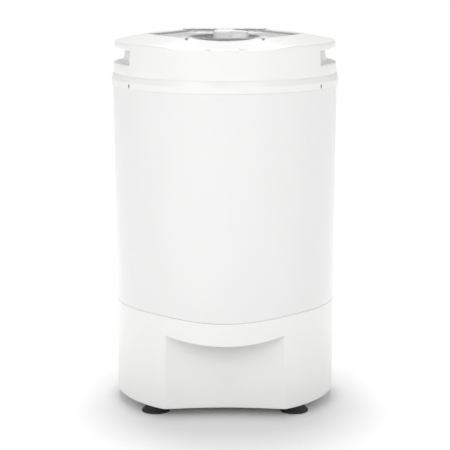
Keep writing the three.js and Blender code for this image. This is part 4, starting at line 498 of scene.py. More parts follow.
WHITE = white_plastic("white_plastic")
# The shell's white is darker than the other white plastic: partly the greyer white of painted steel, partly
# painted shade that tones down the light falling on the shell.
SHADED_SHELL_WHITE = white_plastic("painted_steel_with_painted_shade", (0.745, 0.745, 0.742), 0.26)
# The grip's white is brighter than the other white plastic: painted light that lifts the knob out of the
# shade it gets from the dark smoked lid round it.
LIT_GRIP_WHITE = white_plastic("grip_plastic_painted_light", (0.88, 0.88, 0.87), 0.3)
INNER_WHITE = white_plastic("inner_plastic", (0.74, 0.74, 0.72), 0.42)
SMOKED = smoked_plastic()
RUBBER = rubber("black_rubber")
DRUM_STEEL = brushed_metal("drum_steel", (0.66, 0.67, 0.68), (3, 3, 900))
STEEL = brushed_metal("turned_steel", (0.62, 0.63, 0.64), (40, 40, 900), 0.22)
ZINC = plated_metal("zinc_plate", (0.56, 0.56, 0.52))
CAST = plated_metal("cast_metal", (0.42, 0.43, 0.44), 0.5)
IRON = banded_metal("laminated_iron", (0.16, 0.16, 0.17), 330)
BLACKENED = plated_metal("blackened_steel", (0.09, 0.09, 0.095), 0.4)
COPPER = banded_metal("copper_winding", (0.5, 0.17, 0.07), 260, 0.3)
GREY = moulded("grey_plastic", (0.24, 0.25, 0.26))
BLACK = moulded("black_plastic", (0.022, 0.022, 0.025))
LINING = lining_felt()

PACKED_FINISHES = {
    "white_plastic": WHITE, "smoked_plastic": SMOKED, "inner_plastic": INNER_WHITE, "grey_plastic": GREY,
    "black_plastic": BLACK, "rubber": RUBBER, "steel": STEEL, "zinc": ZINC, "cast": CAST, "iron": IRON,
    "copper": COPPER, "lining": LINING,
}
for row in frame["record"]["subparts"]:
    packed = frame["nodes"][row["node"]]
    packed.data.materials.clear()
    packed.data.materials.append(PACKED_FINISHES[row["material_slot"]])


# ---------------------------------------------------------------- base housing


def seam_fall(x, y):
    """How far the seam between base and shell falls towards the front."""
    from_front = abs(math.atan2(x, -y))
    if from_front > SEAM_DIP_REACH:
        return 0.0
    return -SEAM_DIP * (1 + math.cos(math.pi * from_front / SEAM_DIP_REACH)) / 2


def base_radius(z):
    """The base's draft: its radius at a height."""
    return BASE_RADIUS + (SEAM_RADIUS - BASE_RADIUS) * (z - BASE_LEVEL) / (SEAM_LEVEL - BASE_LEVEL)


def bay_half_width(z):
    """Half the bay's width at a height: a little wider at its foot."""
    level = (z - BASE_LEVEL) / (BAY_LIP_MIDDLE + BAY_LIP_RISE)
    return BAY_HALF_WIDTH + BAY_SPREAD * (1 - min(max(level, 0.0), 1.0))


def bay_back(share, z):
    """Where the bay's back wall is: hollow across, and leaning in towards the top."""
    rise = min(max((z - BASE_LEVEL) / BAY_CEILING, 0.0), 1.0)
    depth = BAY_DEPTH_LOW + (BAY_DEPTH_HIGH - BAY_DEPTH_LOW) * rise**1.5
    edge = math.sqrt(base_radius(z) ** 2 - bay_half_width(z) ** 2)
    middle = BASE_RADIUS - depth
    return -(edge - (edge - middle) * math.cos(share * math.pi / 2))


CORNER_LEVEL = BASE_LEVEL + BAY_LIP_MIDDLE + BAY_LIP_RISE
SKIN_ROWS, LIP_ROWS, BEHIND_ROWS, CEILING_ROWS, BACK_ROWS = 24, 9, 10, 16, 36
BAY_COLUMNS, SKIN_COLUMNS, COLUMN_STEP = 72, 150, 0.9
SKIN_SHARE = 0.8  # about the share of the way round that is plain skin


def seam_rows(angle):
    """The base's locating lip and the ledge that the shell stands on, at an angle from the front."""
    way = np.array([math.sin(angle), -math.cos(angle), 0.0])
    fall = seam_fall(*way[:2])
    ledge = SEAM_LEVEL - SEAM_GAP
    lip_top = SEAM_LEVEL + LIP_HEIGHT
    corners = [(LIP_RADIUS - WALL, lip_top), (LIP_RADIUS, lip_top), (LIP_RADIUS, ledge)]
    corners += [(SEAM_RADIUS, ledge), (SEAM_RADIUS, ledge - SKIN_START)]
    return route([way * radius + (0, 0, z + fall) for radius, z in corners], (4, 6, 8, 7))


def floor_rows(corner, inward):
    """From the foot of the outer wall round its corner and in to the vent."""
    corner = np.array(corner, float)
    vent = np.array([*(np.array(inward[:2]) * VENT_RADIUS), BASE_LEVEL])
    step = (vent - corner) * (1, 1, 0)
    step = step / np.linalg.norm(step)
    turn = []
    for angle in np.linspace(0, math.pi / 2, 6)[1:]:
        along, fall = FLOOR_CORNER * (1 - math.cos(angle)), FLOOR_CORNER * math.sin(angle)
        turn.append(corner + step * along - (0, 0, fall))
    return turn + route([turn[-1], vent, vent + (0, 0, VENT_EDGE)], (12, 2))[1:]


def bay_column(share):
    """One column of the base's front: outer skin, lip, ceiling, back wall and underside."""
    lip = BASE_LEVEL + BAY_LIP_MIDDLE + BAY_LIP_RISE * share**2
    ceiling = lip + (BASE_LEVEL + BAY_CEILING - lip) * (1 - ease(*CEILING_FADE, abs(share)))
    angle = math.asin(share * bay_half_width(SEAM_LEVEL) / SEAM_RADIUS)
    rows = seam_rows(angle)

    def skin(z):
        x = share * bay_half_width(z)
        return (x, -math.sqrt(base_radius(z) ** 2 - x * x), z)

    def back(z):
        return (share * bay_half_width(z), bay_back(share, z), z)

    x, front, _ = skin(lip)
    wall = min(LIP_WALL, LIP_SHARE * (bay_back(share, ceiling) - front))
    behind = front + wall
    corners = [rows[-1], (x, front, lip), (x, behind, lip), (x, behind, ceiling), back(ceiling)]
    rows += route(corners, (SKIN_ROWS, LIP_ROWS, BEHIND_ROWS, CEILING_ROWS))[1:]
    rows += [back(z) for z in np.linspace(ceiling, BASE_LEVEL + FLOOR_CORNER, BACK_ROWS)[1:]]
    return rows + floor_rows(rows[-1], (math.sin(angle), -math.cos(angle)))


def skin_column(share):
    """One column of the base's plain skin, with as many points as a column of the bay."""

    def skin(z):
        edge = math.asin(bay_half_width(z) / base_radius(z))
        angle = edge + share * (TAU - 2 * edge)
        return (base_radius(z) * math.sin(angle), -base_radius(z) * math.cos(angle), z)

    top = skin(SEAM_LEVEL)
    angle = math.atan2(top[0], -top[1])
    rows = seam_rows(angle)
    rows += route([rows[-1], skin(CORNER_LEVEL)], (SKIN_ROWS,))[1:]
    rows += [skin(CORNER_LEVEL)] * (LIP_ROWS + BEHIND_ROWS + CEILING_ROWS - 3)
    rows += [np.array(skin(z)) for z in np.linspace(CORNER_LEVEL, BASE_LEVEL + FLOOR_CORNER, BACK_ROWS)[1:]]
    return rows + floor_rows(rows[-1], (math.sin(angle), -math.cos(angle)))


def thickened(piece, wall):
    """Gives an open sheet its wall, inwards from the side that its normals point to."""
    shell = piece.modifiers.new("wall", "SOLIDIFY")
    shell.thickness = wall * MM
    shell.offset = -1
    return settle(piece)


def facing_out(piece):
    """Turns a sheet's faces so that those on its outside point away from the axis."""
    form = bmesh.new()
    form.from_mesh(piece.data)
    if sum(face.normal.xy.dot(face.calc_center_median().xy) for face in form.faces) < 0:
        bmesh.ops.reverse_faces(form, faces=form.faces)
    form.to_mesh(piece.data)
    form.free()
    return piece


bay_shares = 2 * shares(BAY_COLUMNS, 2 * BAY_HALF_WIDTH, COLUMN_STEP) - 1
columns = [bay_column(s) for s in bay_shares[:-1]]
skin_length = TAU * BASE_RADIUS * SKIN_SHARE
columns += [skin_column(s) for s in shares(SKIN_COLUMNS, skin_length, COLUMN_STEP)[:-1]]
base = soften(facing_out(lofted("base_shell", columns, closed=False)), reach=2, rounds=4)
finished(smooth(thickened(base, WALL), 50), "casing", "white_plastic", WHITE, "base_housing")


# ---------------------------------------------------------------- outer shell


def shell_bend(x, y, z):
    """The shell's lower edge follows the seam; the plain wall above takes up the fall."""
    return seam_fall(x, y) * (1 - ease(0, SEAM_FADE, z - SEAM_LEVEL))


shell_top = BAND_LEVEL + SHELL_LAP
shell = turned(
    "shell_wall",
    [(SEAM_RADIUS - WALL, SEAM_LEVEL), (SEAM_RADIUS, SEAM_LEVEL), (SHELL_RADIUS, BAND_LEVEL),
     (SHELL_RADIUS, shell_top), (SHELL_RADIUS - WALL, shell_top)],
    (9, 60, 4, 5, 24), columns=240, bend=shell_bend)
finished(smooth(soften(shell, reach=2, rounds=3)), "casing", "white_plastic", SHADED_SHELL_WHITE, "outer_shell")


# ---------------------------------------------------------------- top cover

SCREW_LEVEL = BAND_LEVEL + 4.3
SCREW_LOW, SCREW_HIGH = levels("band_screw_right_front")
SCREW_TURN = math.atan2(SCREW_LOW.x + SCREW_HIGH.x, -SCREW_LOW.y - SCREW_HIGH.y)
SCREW_ANGLES = [SCREW_TURN, math.pi - SCREW_TURN, -SCREW_TURN, SCREW_TURN - math.pi]
FRONT = -math.pi / 2


def hex_radius(apothem, angle):
    """How far a hexagon with two corners on the X axis reaches at an angle."""
    side = math.pi / 3
    return apothem / math.cos(angle % side - side / 2)


def wall_radius(z):
    """The cover's upright wall: its radius at a height."""
    share = (z - WALL_LEVEL) / (RIM_START + 1 - WALL_LEVEL)
    return WALL_RADIUS + (WALL_TOP_RADIUS - WALL_RADIUS) * share


def grip_inner(z):
    """The grips' inner wall: its radius at a height."""
    share = (z - GRIP_LOW) / (GRIP_HIGH - GRIP_LOW)
    return GRIP_INNER_LOW + (GRIP_INNER_HIGH - GRIP_INNER_LOW) * share


def pocket_edge(depth=16.0, outer=1.5, inner=3.0, steps=6):
    """The section over a pocket's edge: its way along the surface, and its share of the depth."""
    turn = np.linspace(0, math.pi / 2, steps)
    over = [(outer * (math.sin(t) - 1), outer * (1 - math.cos(t))) for t in turn]
    into = [(inner * (1 - math.cos(t)), depth - inner * (1 - math.sin(t))) for t in turn]
    wall = [(0.0, outer + (depth - inner - outer) * s) for s in (0.3, 0.7)]
    return [(along, deep / depth) for along, deep in over + wall + into]


EDGE = pocket_edge()
GRIP_ROWS = [(GRIP_LOW + along, share) for along, share in EDGE]
GRIP_ROWS += [(z, 1.0) for z in np.linspace(GRIP_LOW + 4.5, GRIP_HIGH - 4.5, 5)]
GRIP_ROWS += [(GRIP_HIGH - along, share) for along, share in reversed(EDGE)]


def deck_level(radius):
    """The deck's plain height at a radius: a shallow cone round a flat border."""
    share = max(0.0, radius - MOUTH_BORDER) / (DECK_RADIUS - MOUTH_BORDER)
    return DECK_LEVEL - (DECK_LEVEL - RIM_LEVEL) * share


def deck_fall(x, y):
    """How far the deck is lowered: the scoop in front and the two notches at its corners."""
    radius = math.hypot(x, y)
    if y > 0:
        return 0.0
    outward = min(max((radius - MOUTH_CORNER) / (RIM_RADIUS - MOUTH_CORNER), 0), 1)
    bowl = max(0.0, 1 - (x / SCOOP_HALF_WIDTH) ** 2)
    angle = abs(math.atan2(x, -y))
    crease = math.asin(SCOOP_HALF_WIDTH / RIM_RADIUS)
    fade = ease(0, 1, (SCOOP_FADE - angle) / (SCOOP_FADE - crease))
    fall = SCOOP_DEPTH * (bowl * (1 - outward) + fade * outward)
    across = 1 - abs(abs(x) - NOTCH_X) / NOTCH_HALF_WIDTH
    along = 1 - (-y - MOUTH_APOTHEM) / NOTCH_LENGTH
    return -fall - NOTCH_DEPTH * max(0.0, across) * min(max(0.0, along), 1.0)


def cover_column(angle, grip):
    """One column of the top cover, from the band's lower edge up and in to the ledge round the mouth."""
    way = np.array([math.cos(angle), math.sin(angle), 0.0])

    def at(radius, z):
        fall = deck_fall(radius * way[0], radius * way[1]) if z > RIM_START else 0.0
        return way * radius + (0, 0, z + fall * ease(RIM_START, RIM_LEVEL, z))

    above_ledge = WALL_LEVEL + 12
    rows = route(
        [at(BAND_RADIUS, BAND_LEVEL), at(BAND_RADIUS, LEDGE_LEVEL), at(SHELL_RADIUS + 0.3, WALL_LEVEL - 0.8),
         at(WALL_RADIUS, WALL_LEVEL), at(wall_radius(above_ledge), above_ledge)], (10, 10, 3, 6))
    for z, share in GRIP_ROWS:
        plain = wall_radius(z)
        rows.append(at(plain - grip * share * (plain - grip_inner(z)), z))
    rows += [at(wall_radius(z), z) for z in (GRIP_HIGH + 2.6, RIM_START)]
    for swing in np.linspace(0, RIM_SWEEP, 9) * math.pi / 2:
        across, rise = RIM_ACROSS * (1 - math.cos(swing)), RIM_RISE * math.sin(swing)
        rows.append(at(WALL_TOP_RADIUS - across, RIM_LEVEL - RIM_TURN + rise))
    mouth = hex_radius(MOUTH_APOTHEM, angle)
    radii = [*np.linspace(DECK_START, FINE_DECK + 1, 18)]
    radii += [*np.linspace(FINE_DECK, MOUTH_BORDER, 16)]
    radii += [*(MOUTH_BORDER + (mouth - MOUTH_BORDER) * shares(12, 18)[1:])]
    rows += [at(radius, deck_level(radius)) for radius in radii]
    inner = hex_radius(MOUTH_APOTHEM - MOUTH_LEDGE, angle)
    seat = way * mouth + (0, 0, SEAT_LEVEL)
    ledge = way * inner + (0, 0, SEAT_LEVEL)
    return rows + route([rows[-1], seat, ledge, ledge - (0, 0, TOP_WALL)], (7, 7, 4))[1:]


GRIP_COLUMNS = [0, 0.25, 0.6, 1.2, 2.5, *range(5, 30, 4), 30.5]
FRONT_COLUMNS = [0, 3, 6, 9, 11.5, *np.linspace(14, 33, 77), 36, 39.5, 43, 46.5, 50, 53, 55.3]
BACK_COLUMNS = [2, 6, 10, 14, 18, 22, 26, 29, 29.7, 30, 30.3, 31, 34, 38, 42, 46, 50, 53.5, 55.3]


def cover_stations():
    """The columns' angles, each with its share of the grips' depth.

    They are close together at the grips' ends, and in front where the scoop and the notches are.
    """
    across = GRIP_INNER_LOW + 6
    stations = {}
    for hand in (-1, 1):
        for side in (0.0, math.pi):
            for along, share in EDGE:
                stations[round(side + hand * (GRIP_HALF_ANGLE - along / across), 6)] = share
            for angle in np.radians(GRIP_COLUMNS):
                stations[round(side + hand * angle, 6)] = 1.0
        for middle, columns in ((FRONT, FRONT_COLUMNS), (-FRONT, BACK_COLUMNS)):
            for angle in np.radians(columns):
                stations[round(middle + hand * angle, 6)] = 0.0
    return sorted((angle % TAU, share) for angle, share in stations.items())


cover_columns = [cover_column(angle, grip) for angle, grip in cover_stations()]
cover = facing_out(lofted("top_cover_shell", cover_columns, closed=False))
soften(cover, math.radians(18), reach=2, rounds=4)
thickened(cover, COVER_WALL)


def rod(radius, start, end, sides=24, tip=None):
    """A closed rod, or a cone, between two points, in millimetres."""
    start, end = Vector(start), Vector(end)
    form = bmesh.new()
    tip = radius if tip is None else tip
    bmesh.ops.create_cone(
        form, cap_ends=True, segments=sides, radius1=radius, radius2=tip, depth=(end - start).length)
    turn = Vector((0, 0, 1)).rotation_difference(end - start).to_matrix().to_4x4()
    bmesh.ops.transform(form, matrix=Matrix.Translation((start + end) / 2) @ turn, verts=form.verts)
    return piece_from("rod", form)


def block(low, high, bevel=0.0):
    """A closed block between two corners, in millimetres, with its edges rounded."""
    low, high = Vector(low), Vector(high)
    form = bmesh.new()
    bmesh.ops.create_cube(form, size=1.0)
    bmesh.ops.scale(form, vec=high - low, verts=form.verts)
    bmesh.ops.translate(form, vec=(low + high) / 2, verts=form.verts)
    if bevel:
        bmesh.ops.bevel(form, geom=form.edges[:], offset=bevel, segments=3, profile=0.5, affect="EDGES")
    return piece_from("block", form)


def merged(piece, *others):
    """Puts other meshes into a piece without cutting them to it, and removes them."""
    form = bmesh.new()
    form.from_mesh(piece.data)
    for other in others:
        form.from_mesh(other.data)
        bpy.data.objects.remove(other)
    form.to_mesh(piece.data)
    form.free()
    return piece


def radial(angle, radius, z):
    """A point at an angle from the front."""
    return (radius * math.sin(angle), -radius * math.cos(angle), z)


SLOT_HALF_HEIGHT = 1.4
SLOT_RADIUS = 1.9
UNDER_DECK_RADIUS = 160.0

for angle in SCREW_ANGLES:
    for rise in (-SLOT_HALF_HEIGHT, SLOT_HALF_HEIGHT, 0):
        start, end = [radial(angle, BAND_RADIUS + depth, SCREW_LEVEL + rise) for depth in (-4, 3)]
        joined(cover, rod(SLOT_RADIUS, start, end), "DIFFERENCE", "FAST")

pocket = HINGE_END + POCKET_GAP
pocket_low = HINGE_LEVEL - HINGE_RADIUS - POCKET_GAP
pocket_back = HINGE_Y + HINGE_RADIUS + POCKET_GAP
pocket_corners = (-pocket, MOUTH_APOTHEM - 3, pocket_low), (pocket, pocket_back, DECK_LEVEL + 4)
joined(cover, block(*pocket_corners, POCKET_BEVEL), "DIFFERENCE", "FAST")

liner_low = pocket_low - LINER_WALL
liner = block((-pocket - LINER_WALL, MOUTH_APOTHEM - 0.5, liner_low),
              (pocket + LINER_WALL, pocket_back + LINER_WALL, DECK_LEVEL))
joined(liner, block(*pocket_corners, POCKET_BEVEL), "DIFFERENCE")
under_deck = turned(
    "under_deck",
    [(AXIS, liner_low - 2), (UNDER_DECK_RADIUS, liner_low - 2),
     (UNDER_DECK_RADIUS, deck_level(UNDER_DECK_RADIUS) - SUNK),
     (MOUTH_BORDER, DECK_LEVEL - SUNK), (AXIS, DECK_LEVEL - SUNK)], (6, 6, 6, 6, 6))
joined(liner, under_deck, "INTERSECT")

collar_top = deck_level(COLLAR_RADIUS) - SUNK


def collar_bend(x, y, z):
    """The collar's top follows the deck above it."""
    return deck_fall(x, y) * ease(COLLAR_LEVEL + 4, collar_top - 1, z)


collar = turned(
    "collar",
    [(COLLAR_INNER, COLLAR_LEVEL), (COLLAR_RADIUS, COLLAR_LEVEL), (COLLAR_RADIUS, collar_top),
     (COLLAR_INNER, collar_top)], (5, 7, 5, 7), columns=144, bend=collar_bend)
merged(cover, liner, collar)
finished(smooth(cover), "casing", "white_plastic", WHITE, "top_cover")


# ---------------------------------------------------------------- lid and hinge


def lid_column(angle):
    """One column of the lid: border, facets, dish and well, above and below."""
    way = np.array([math.cos(angle), math.sin(angle), 0.0])

    def six(apothem, z):
        return way * hex_radius(apothem, angle) + (0, 0, z)

    def ring(radius, z):
        return way * radius + (0, 0, z)

    under = LID_WALL
    corners = [
        six(LID_APOTHEM, LID_FOOT), six(LID_APOTHEM, LID_TOP), six(LID_BORDER, LID_TOP),
        six(LID_BORDER - 1, FACET_TOP), ring(DISH_RADIUS, DISH_EDGE), ring(DISH_RADIUS - 1.5, DISH_LEVEL),
        ring(WELL_RADIUS, DISH_LEVEL - 0.4), ring(WELL_RADIUS - 1.5, WELL_LEVEL), ring(HUB_BORE, WELL_LEVEL),
        ring(HUB_BORE, WELL_LEVEL - under), ring(WELL_RADIUS + 0.5, WELL_LEVEL - under),
        ring(WELL_RADIUS + 1.5, DISH_LEVEL - under), ring(DISH_RADIUS + 0.5, DISH_LEVEL - under),
        ring(DISH_RADIUS + 1.5, DISH_EDGE - under), six(LID_BORDER - 3, FACET_TOP - under),
        six(LID_APOTHEM - under, LID_TOP - under), six(LID_APOTHEM - under, LID_FOOT)]
    counts = (9, 9, 6, 34, 8, 16, 9, 30, 6, 30, 9, 14, 8, 30, 9, 7, 7)
    return route([*corners, corners[0]], counts, 0.5)[:-1]


side = math.pi / 3
lid_angles = [side * (i + share) for i in range(6) for share in shares(34, side * MOUTH_CORNER, 0.5)[:-1]]
lid = soften(lofted("smoked_lid", [lid_column(a) for a in lid_angles]), math.radians(16), reach=2, rounds=3)
barrel_start, barrel_end = [(x * HINGE_HALF_LENGTH, HINGE_Y, HINGE_LEVEL) for x in (-1, 1)]
joined(lid, rod(HINGE_RADIUS, barrel_start, barrel_end, 48), "UNION")
web = HINGE_HALF_LENGTH - 10
joined(lid, block((-web, LID_APOTHEM - 3.6, LID_TOP - LID_WALL), (web, HINGE_Y, LID_TOP)), "UNION")
finished(smooth(lid, 32), "lid", "smoked_plastic", SMOKED, "lid")

CONE_TIP = 1.9
STAND_LENGTH = 8.5
STAND_HALF_WIDTH = 3.0

for hand, node in ((-1, "hinge_bracket_left"), (1, "hinge_bracket_right")):
    foot = levels(node)[0].z
    near, far = hand * (HINGE_HALF_LENGTH + POCKET_GAP), hand * HINGE_END
    bracket = rod(HINGE_RADIUS, (near, HINGE_Y, HINGE_LEVEL), (far, HINGE_Y, HINGE_LEVEL), 40, CONE_TIP)
    x_low, x_high = sorted((near, near + hand * STAND_LENGTH))
    stand = block(
        (x_low, HINGE_Y - STAND_HALF_WIDTH, foot), (x_high, HINGE_Y + STAND_HALF_WIDTH, HINGE_LEVEL), 0.5)
    joined(bracket, stand, "UNION")
    bracket.name = node + "_cone"
    finished(smooth(bracket), "casing", "white_plastic", WHITE, node)


# ---------------------------------------------------------------- turning grip

KNOB_RADIUS = 18.0
POINTER_LENGTH = 37.0
POINTER_HALF_TIP = 7.5
POINTER_FALL = 2.0  # over the pointer's length
KNOB_FOOT = levels("knob")[0].z
KNOB_TOP = levels("knob")[1].z - 0.02  # stays inside the CAD box
KNOB_TURN = math.radians(-12)
KNOB_BORE = 3.5
KNOB_BORE_DEPTH = 9.0
FINGER_RADIUS = 16.0
VOXEL = 0.55


def pointer():
    """The grip's pointer: a wedge along X that falls towards its tip."""
    corners = [(0, KNOB_RADIUS - 1.5), (POINTER_LENGTH - 3, POINTER_HALF_TIP),
               (POINTER_LENGTH - 1, POINTER_HALF_TIP - 2), (POINTER_LENGTH, POINTER_HALF_TIP - 4)]
    plan = [(x, -y) for x, y in corners] + corners[::-1]
    form = bmesh.new()
    slope = POINTER_FALL / (POINTER_LENGTH + 1)
    below = [form.verts.new((x, y, KNOB_FOOT)) for x, y in plan]
    above = [form.verts.new((x, y, KNOB_TOP - 0.5 - slope * x)) for x, y in plan]
    form.faces.new(below[::-1])
    form.faces.new(above)
    for i in range(len(plan)):
        k = (i + 1) % len(plan)
        form.faces.new((below[i], below[k], above[k], above[i]))
    return piece_from("pointer", form)


knob = turned(
    "turning_grip_cap",
    [(AXIS, KNOB_FOOT), (KNOB_RADIUS, KNOB_FOOT), (KNOB_RADIUS, KNOB_TOP - 3),
     (KNOB_RADIUS - 2, KNOB_TOP - 0.8), (KNOB_RADIUS - 6, KNOB_TOP), (AXIS, KNOB_TOP)],
    (20, 14, 6, 8, 16, 12), columns=96)
joined(knob, pointer(), "UNION")
scoop_start = (KNOB_RADIUS * 0.9, -KNOB_RADIUS - 8, KNOB_TOP - 4)
scoop_end = (POINTER_LENGTH + 6, -KNOB_RADIUS - 3, KNOB_TOP - 4)
joined(knob, rod(FINGER_RADIUS, scoop_start, scoop_end, 96), "DIFFERENCE")
bore = rod(KNOB_BORE, (0, 0, KNOB_FOOT - 1), (0, 0, KNOB_FOOT + KNOB_BORE_DEPTH), 32)
joined(knob, bore, "DIFFERENCE")
knob.data.transform(Matrix.Rotation(KNOB_TURN, 4, "Z"))
remesh = knob.modifiers.new("even", "REMESH")
remesh.mode = "VOXEL"
remesh.voxel_size = VOXEL * MM
rounding = knob.modifiers.new("rounded", "SMOOTH")
rounding.factor = 0.5
rounding.iterations = 4
bpy.context.view_layer.update()
finished(smooth(settle(knob), 60), "grip", "white_plastic", LIT_GRIP_WHITE, "knob")


# ---------------------------------------------------------------- drum, tub and seal

DRUM_RADIUS = levels("drum")[1].x
DRUM_WALL = 1.2
DRUM_LIP = 122.0
LIP_TURN = 3.0
HOLE_ROWS = 20
HOLES_ROUND = 48
HOLE_RADIUS = 2.5
HOLES_LOW = 225.0
HOLE_RISE = 14.0
HOLE_PITCH = TAU * DRUM_RADIUS / HOLES_ROUND


class Tree:
    """A Geometry Nodes tree in the making; its inputs are its named sizes."""

    def __init__(self, name, sizes, material):
        self.group = bpy.data.node_groups.new(name, "GeometryNodeTree")
        face = self.group.interface
        face.new_socket("Geometry", in_out="INPUT", socket_type="NodeSocketGeometry")
        self.sizes = sizes
        self.keys = {}
        for key, (kind, value) in sizes.items():
            made = face.new_socket(key, in_out="INPUT", socket_type=kind)
            self.keys[key] = (made.identifier, value)
        face.new_socket("Geometry", in_out="OUTPUT", socket_type="NodeSocketGeometry")
        self.start = self.group.nodes.new("NodeGroupInput")
        self.material = material

    def node(self, kind, inputs=None, output=0, **settings):
        """Adds a node with its settings, its links and its values."""
        made = self.group.nodes.new(kind)
        for key, value in settings.items():
            setattr(made, key, value)
        for key, value in (inputs or {}).items():
            if isinstance(value, bpy.types.NodeSocket):
                self.group.links.new(value, made.inputs[key])
            else:
                made.inputs[key].default_value = value
        return made.outputs[output]

    def maths(self, operation, *values):
        return self.node("ShaderNodeMath", dict(enumerate(values)), operation=operation)

    def size(self, key):
        return self.start.outputs[key]

    def run(self, piece, result):
        """Closes the tree with realised instances and a material, and makes the piece a plain mesh."""
        real = self.node("GeometryNodeRealizeInstances", {0: result})
        welded = self.node("GeometryNodeMergeByDistance", {"Geometry": real, "Distance": WELD * MM})
        coloured = self.node("GeometryNodeSetMaterial", {"Geometry": welded, "Material": self.material})
        end = self.group.nodes.new("NodeGroupOutput")
        self.group.links.new(coloured, end.inputs[0])
        modifier = piece.modifiers.new("nodes", "NODES")
        modifier.node_group = self.group
        for identifier, value in self.keys.values():
            modifier[identifier] = value
        bpy.context.view_layer.update()
        return settle(piece)


def perforation(width, height):
    """One cell of the drum's wall with its round hole, flat in X and Y from its lower left corner."""
    form = bmesh.new()
    middle = Vector((width / 2, height / 2, 0))
    signs = [(1, 0), (1, 1), (0, 1), (-1, 1), (-1, 0), (-1, -1), (0, -1), (1, -1)]
    turns = np.linspace(0, TAU, 2 * len(signs), endpoint=False)
    inner = [form.verts.new(middle + HOLE_RADIUS * Vector((math.cos(a), math.sin(a), 0))) for a in turns]
    rim = [form.verts.new(middle + Vector((x * width / 2, y * height / 2, 0))) for x, y in signs]
    for i in range(len(signs)):
        k = (i + 1) % len(signs)
        form.faces.new((inner[2 * i], rim[i], rim[k], inner[2 * k], inner[2 * i + 1]))
    return piece_from("drum_wall", form)


def wrapped(piece):
    """Repeats the cell in staggered rows and wraps them round the drum."""
    sizes = {
        "Columns": ("NodeSocketInt", HOLES_ROUND), "Rows": ("NodeSocketInt", HOLE_ROWS),
        "Pitch": ("NodeSocketFloat", HOLE_PITCH * MM), "Rise": ("NodeSocketFloat", HOLE_RISE * MM),
        "Radius": ("NodeSocketFloat", DRUM_RADIUS * MM), "Level": ("NodeSocketFloat", HOLES_LOW * MM)}
    tree = Tree("perforations", sizes, DRUM_STEEL)
    columns, rows = tree.size("Columns"), tree.size("Rows")
    cells = tree.maths("MULTIPLY", columns, rows)
    points = tree.node("GeometryNodeMeshLine", {"Count": cells})
    index = tree.node("GeometryNodeInputIndex")
    row = tree.maths("FLOOR", tree.maths("DIVIDE", index, columns))
    column = tree.maths("SUBTRACT", index, tree.maths("MULTIPLY", row, columns))
    shift = tree.maths("MULTIPLY", tree.maths("MODULO", row, 2.0), 0.5)
    x = tree.maths("MULTIPLY", tree.maths("ADD", column, shift), tree.size("Pitch"))
    y = tree.maths("MULTIPLY", row, tree.size("Rise"))
    place = tree.node("ShaderNodeCombineXYZ", {"X": x, "Y": y})
    laid = tree.node("GeometryNodeSetPosition", {"Geometry": points, "Position": place})
    copies = tree.node("GeometryNodeInstanceOnPoints", {"Points": laid, "Instance": tree.size("Geometry")})
    sheet = tree.node("GeometryNodeRealizeInstances", {0: copies})
    apart = tree.node("ShaderNodeSeparateXYZ", {0: tree.node("GeometryNodeInputPosition")}).node.outputs
    turn = tree.maths("DIVIDE", apart["X"], tree.size("Radius"))
    round_place = tree.node("ShaderNodeCombineXYZ", {
        "X": tree.maths("MULTIPLY", tree.maths("COSINE", turn), tree.size("Radius")),
        "Y": tree.maths("MULTIPLY", tree.maths("SINE", turn), tree.size("Radius")),
        "Z": tree.maths("ADD", apart["Y"], tree.size("Level"))})
    return tree.run(piece, tree.node("GeometryNodeSetPosition", {"Geometry": sheet, "Position": round_place}))


def plain_band(profile, columns):
    """An open band turned about Z that carries on the perforated sheet."""
    turns = np.linspace(0, TAU, columns, endpoint=False)
    rows = [[(radius * math.cos(a), radius * math.sin(a), z) for radius, z in profile] for a in turns]
    return lofted("band", rows, closed=False)


drum_low, drum_high = (corner.z for corner in levels("drum"))
holes_high = HOLES_LOW + HOLE_ROWS * HOLE_RISE
lip = [(DRUM_RADIUS - LIP_TURN * (1 - math.cos(a)), drum_high - LIP_TURN * (1 - math.sin(a)))
       for a in np.linspace(0, math.pi / 2, 7)]
foot_band = [(DRUM_RADIUS, drum_low), (DRUM_RADIUS, drum_low + 8), (DRUM_RADIUS, HOLES_LOW)]
head_band = [(DRUM_RADIUS, holes_high), (DRUM_RADIUS, holes_high + 9), *lip, (DRUM_LIP, drum_high)]
drum = wrapped(perforation(HOLE_PITCH, HOLE_RISE))
merged(drum, plain_band(foot_band, 2 * HOLES_ROUND), plain_band(head_band, 2 * HOLES_ROUND))
form = bmesh.new()
form.from_mesh(drum.data)
bmesh.ops.remove_doubles(form, verts=form.verts, dist=0.03 * MM)
bmesh.ops.recalc_face_normals(form, faces=form.faces)
form.to_mesh(drum.data)
form.free()
thickened(facing_out(drum), DRUM_WALL)
finished(smooth(drum), "drum", "steel", DRUM_STEEL, "drum")

RIM_MOUTH = 108.0
TUB_INNER = 143.5
TUB_RADIUS = 146.0
TUB_EDGE = 3.0
SEAL_SLOPE = 2.5

low, high = levels("drum_rim")
rim = turned(
    "drum_rim_ring",
    [(RIM_MOUTH, low.z + 3), (RIM_MOUTH + 4, low.z), (high.x, low.z), (high.x, high.z - 4),
     (high.x - 4, high.z), (RIM_MOUTH + 4, high.z), (RIM_MOUTH, high.z - 3)],
    (7, 12, 8, 8, 14, 7, 6), columns=144)
finished(smooth(soften(rim)), "drum", "inner_plastic", INNER_WHITE, "drum_rim")

low, high = levels("water_tub")
tub = turned(
    "tub_wall",
    [(TUB_INNER, low.z), (TUB_RADIUS, low.z), (TUB_RADIUS, high.z - TUB_EDGE), (high.x, high.z - TUB_EDGE),
     (high.x, high.z), (TUB_INNER, high.z)], (5, 30, 7, 6, 8, 30), columns=144)
finished(smooth(tub), "casing", "inner_plastic", INNER_WHITE, "water_tub")

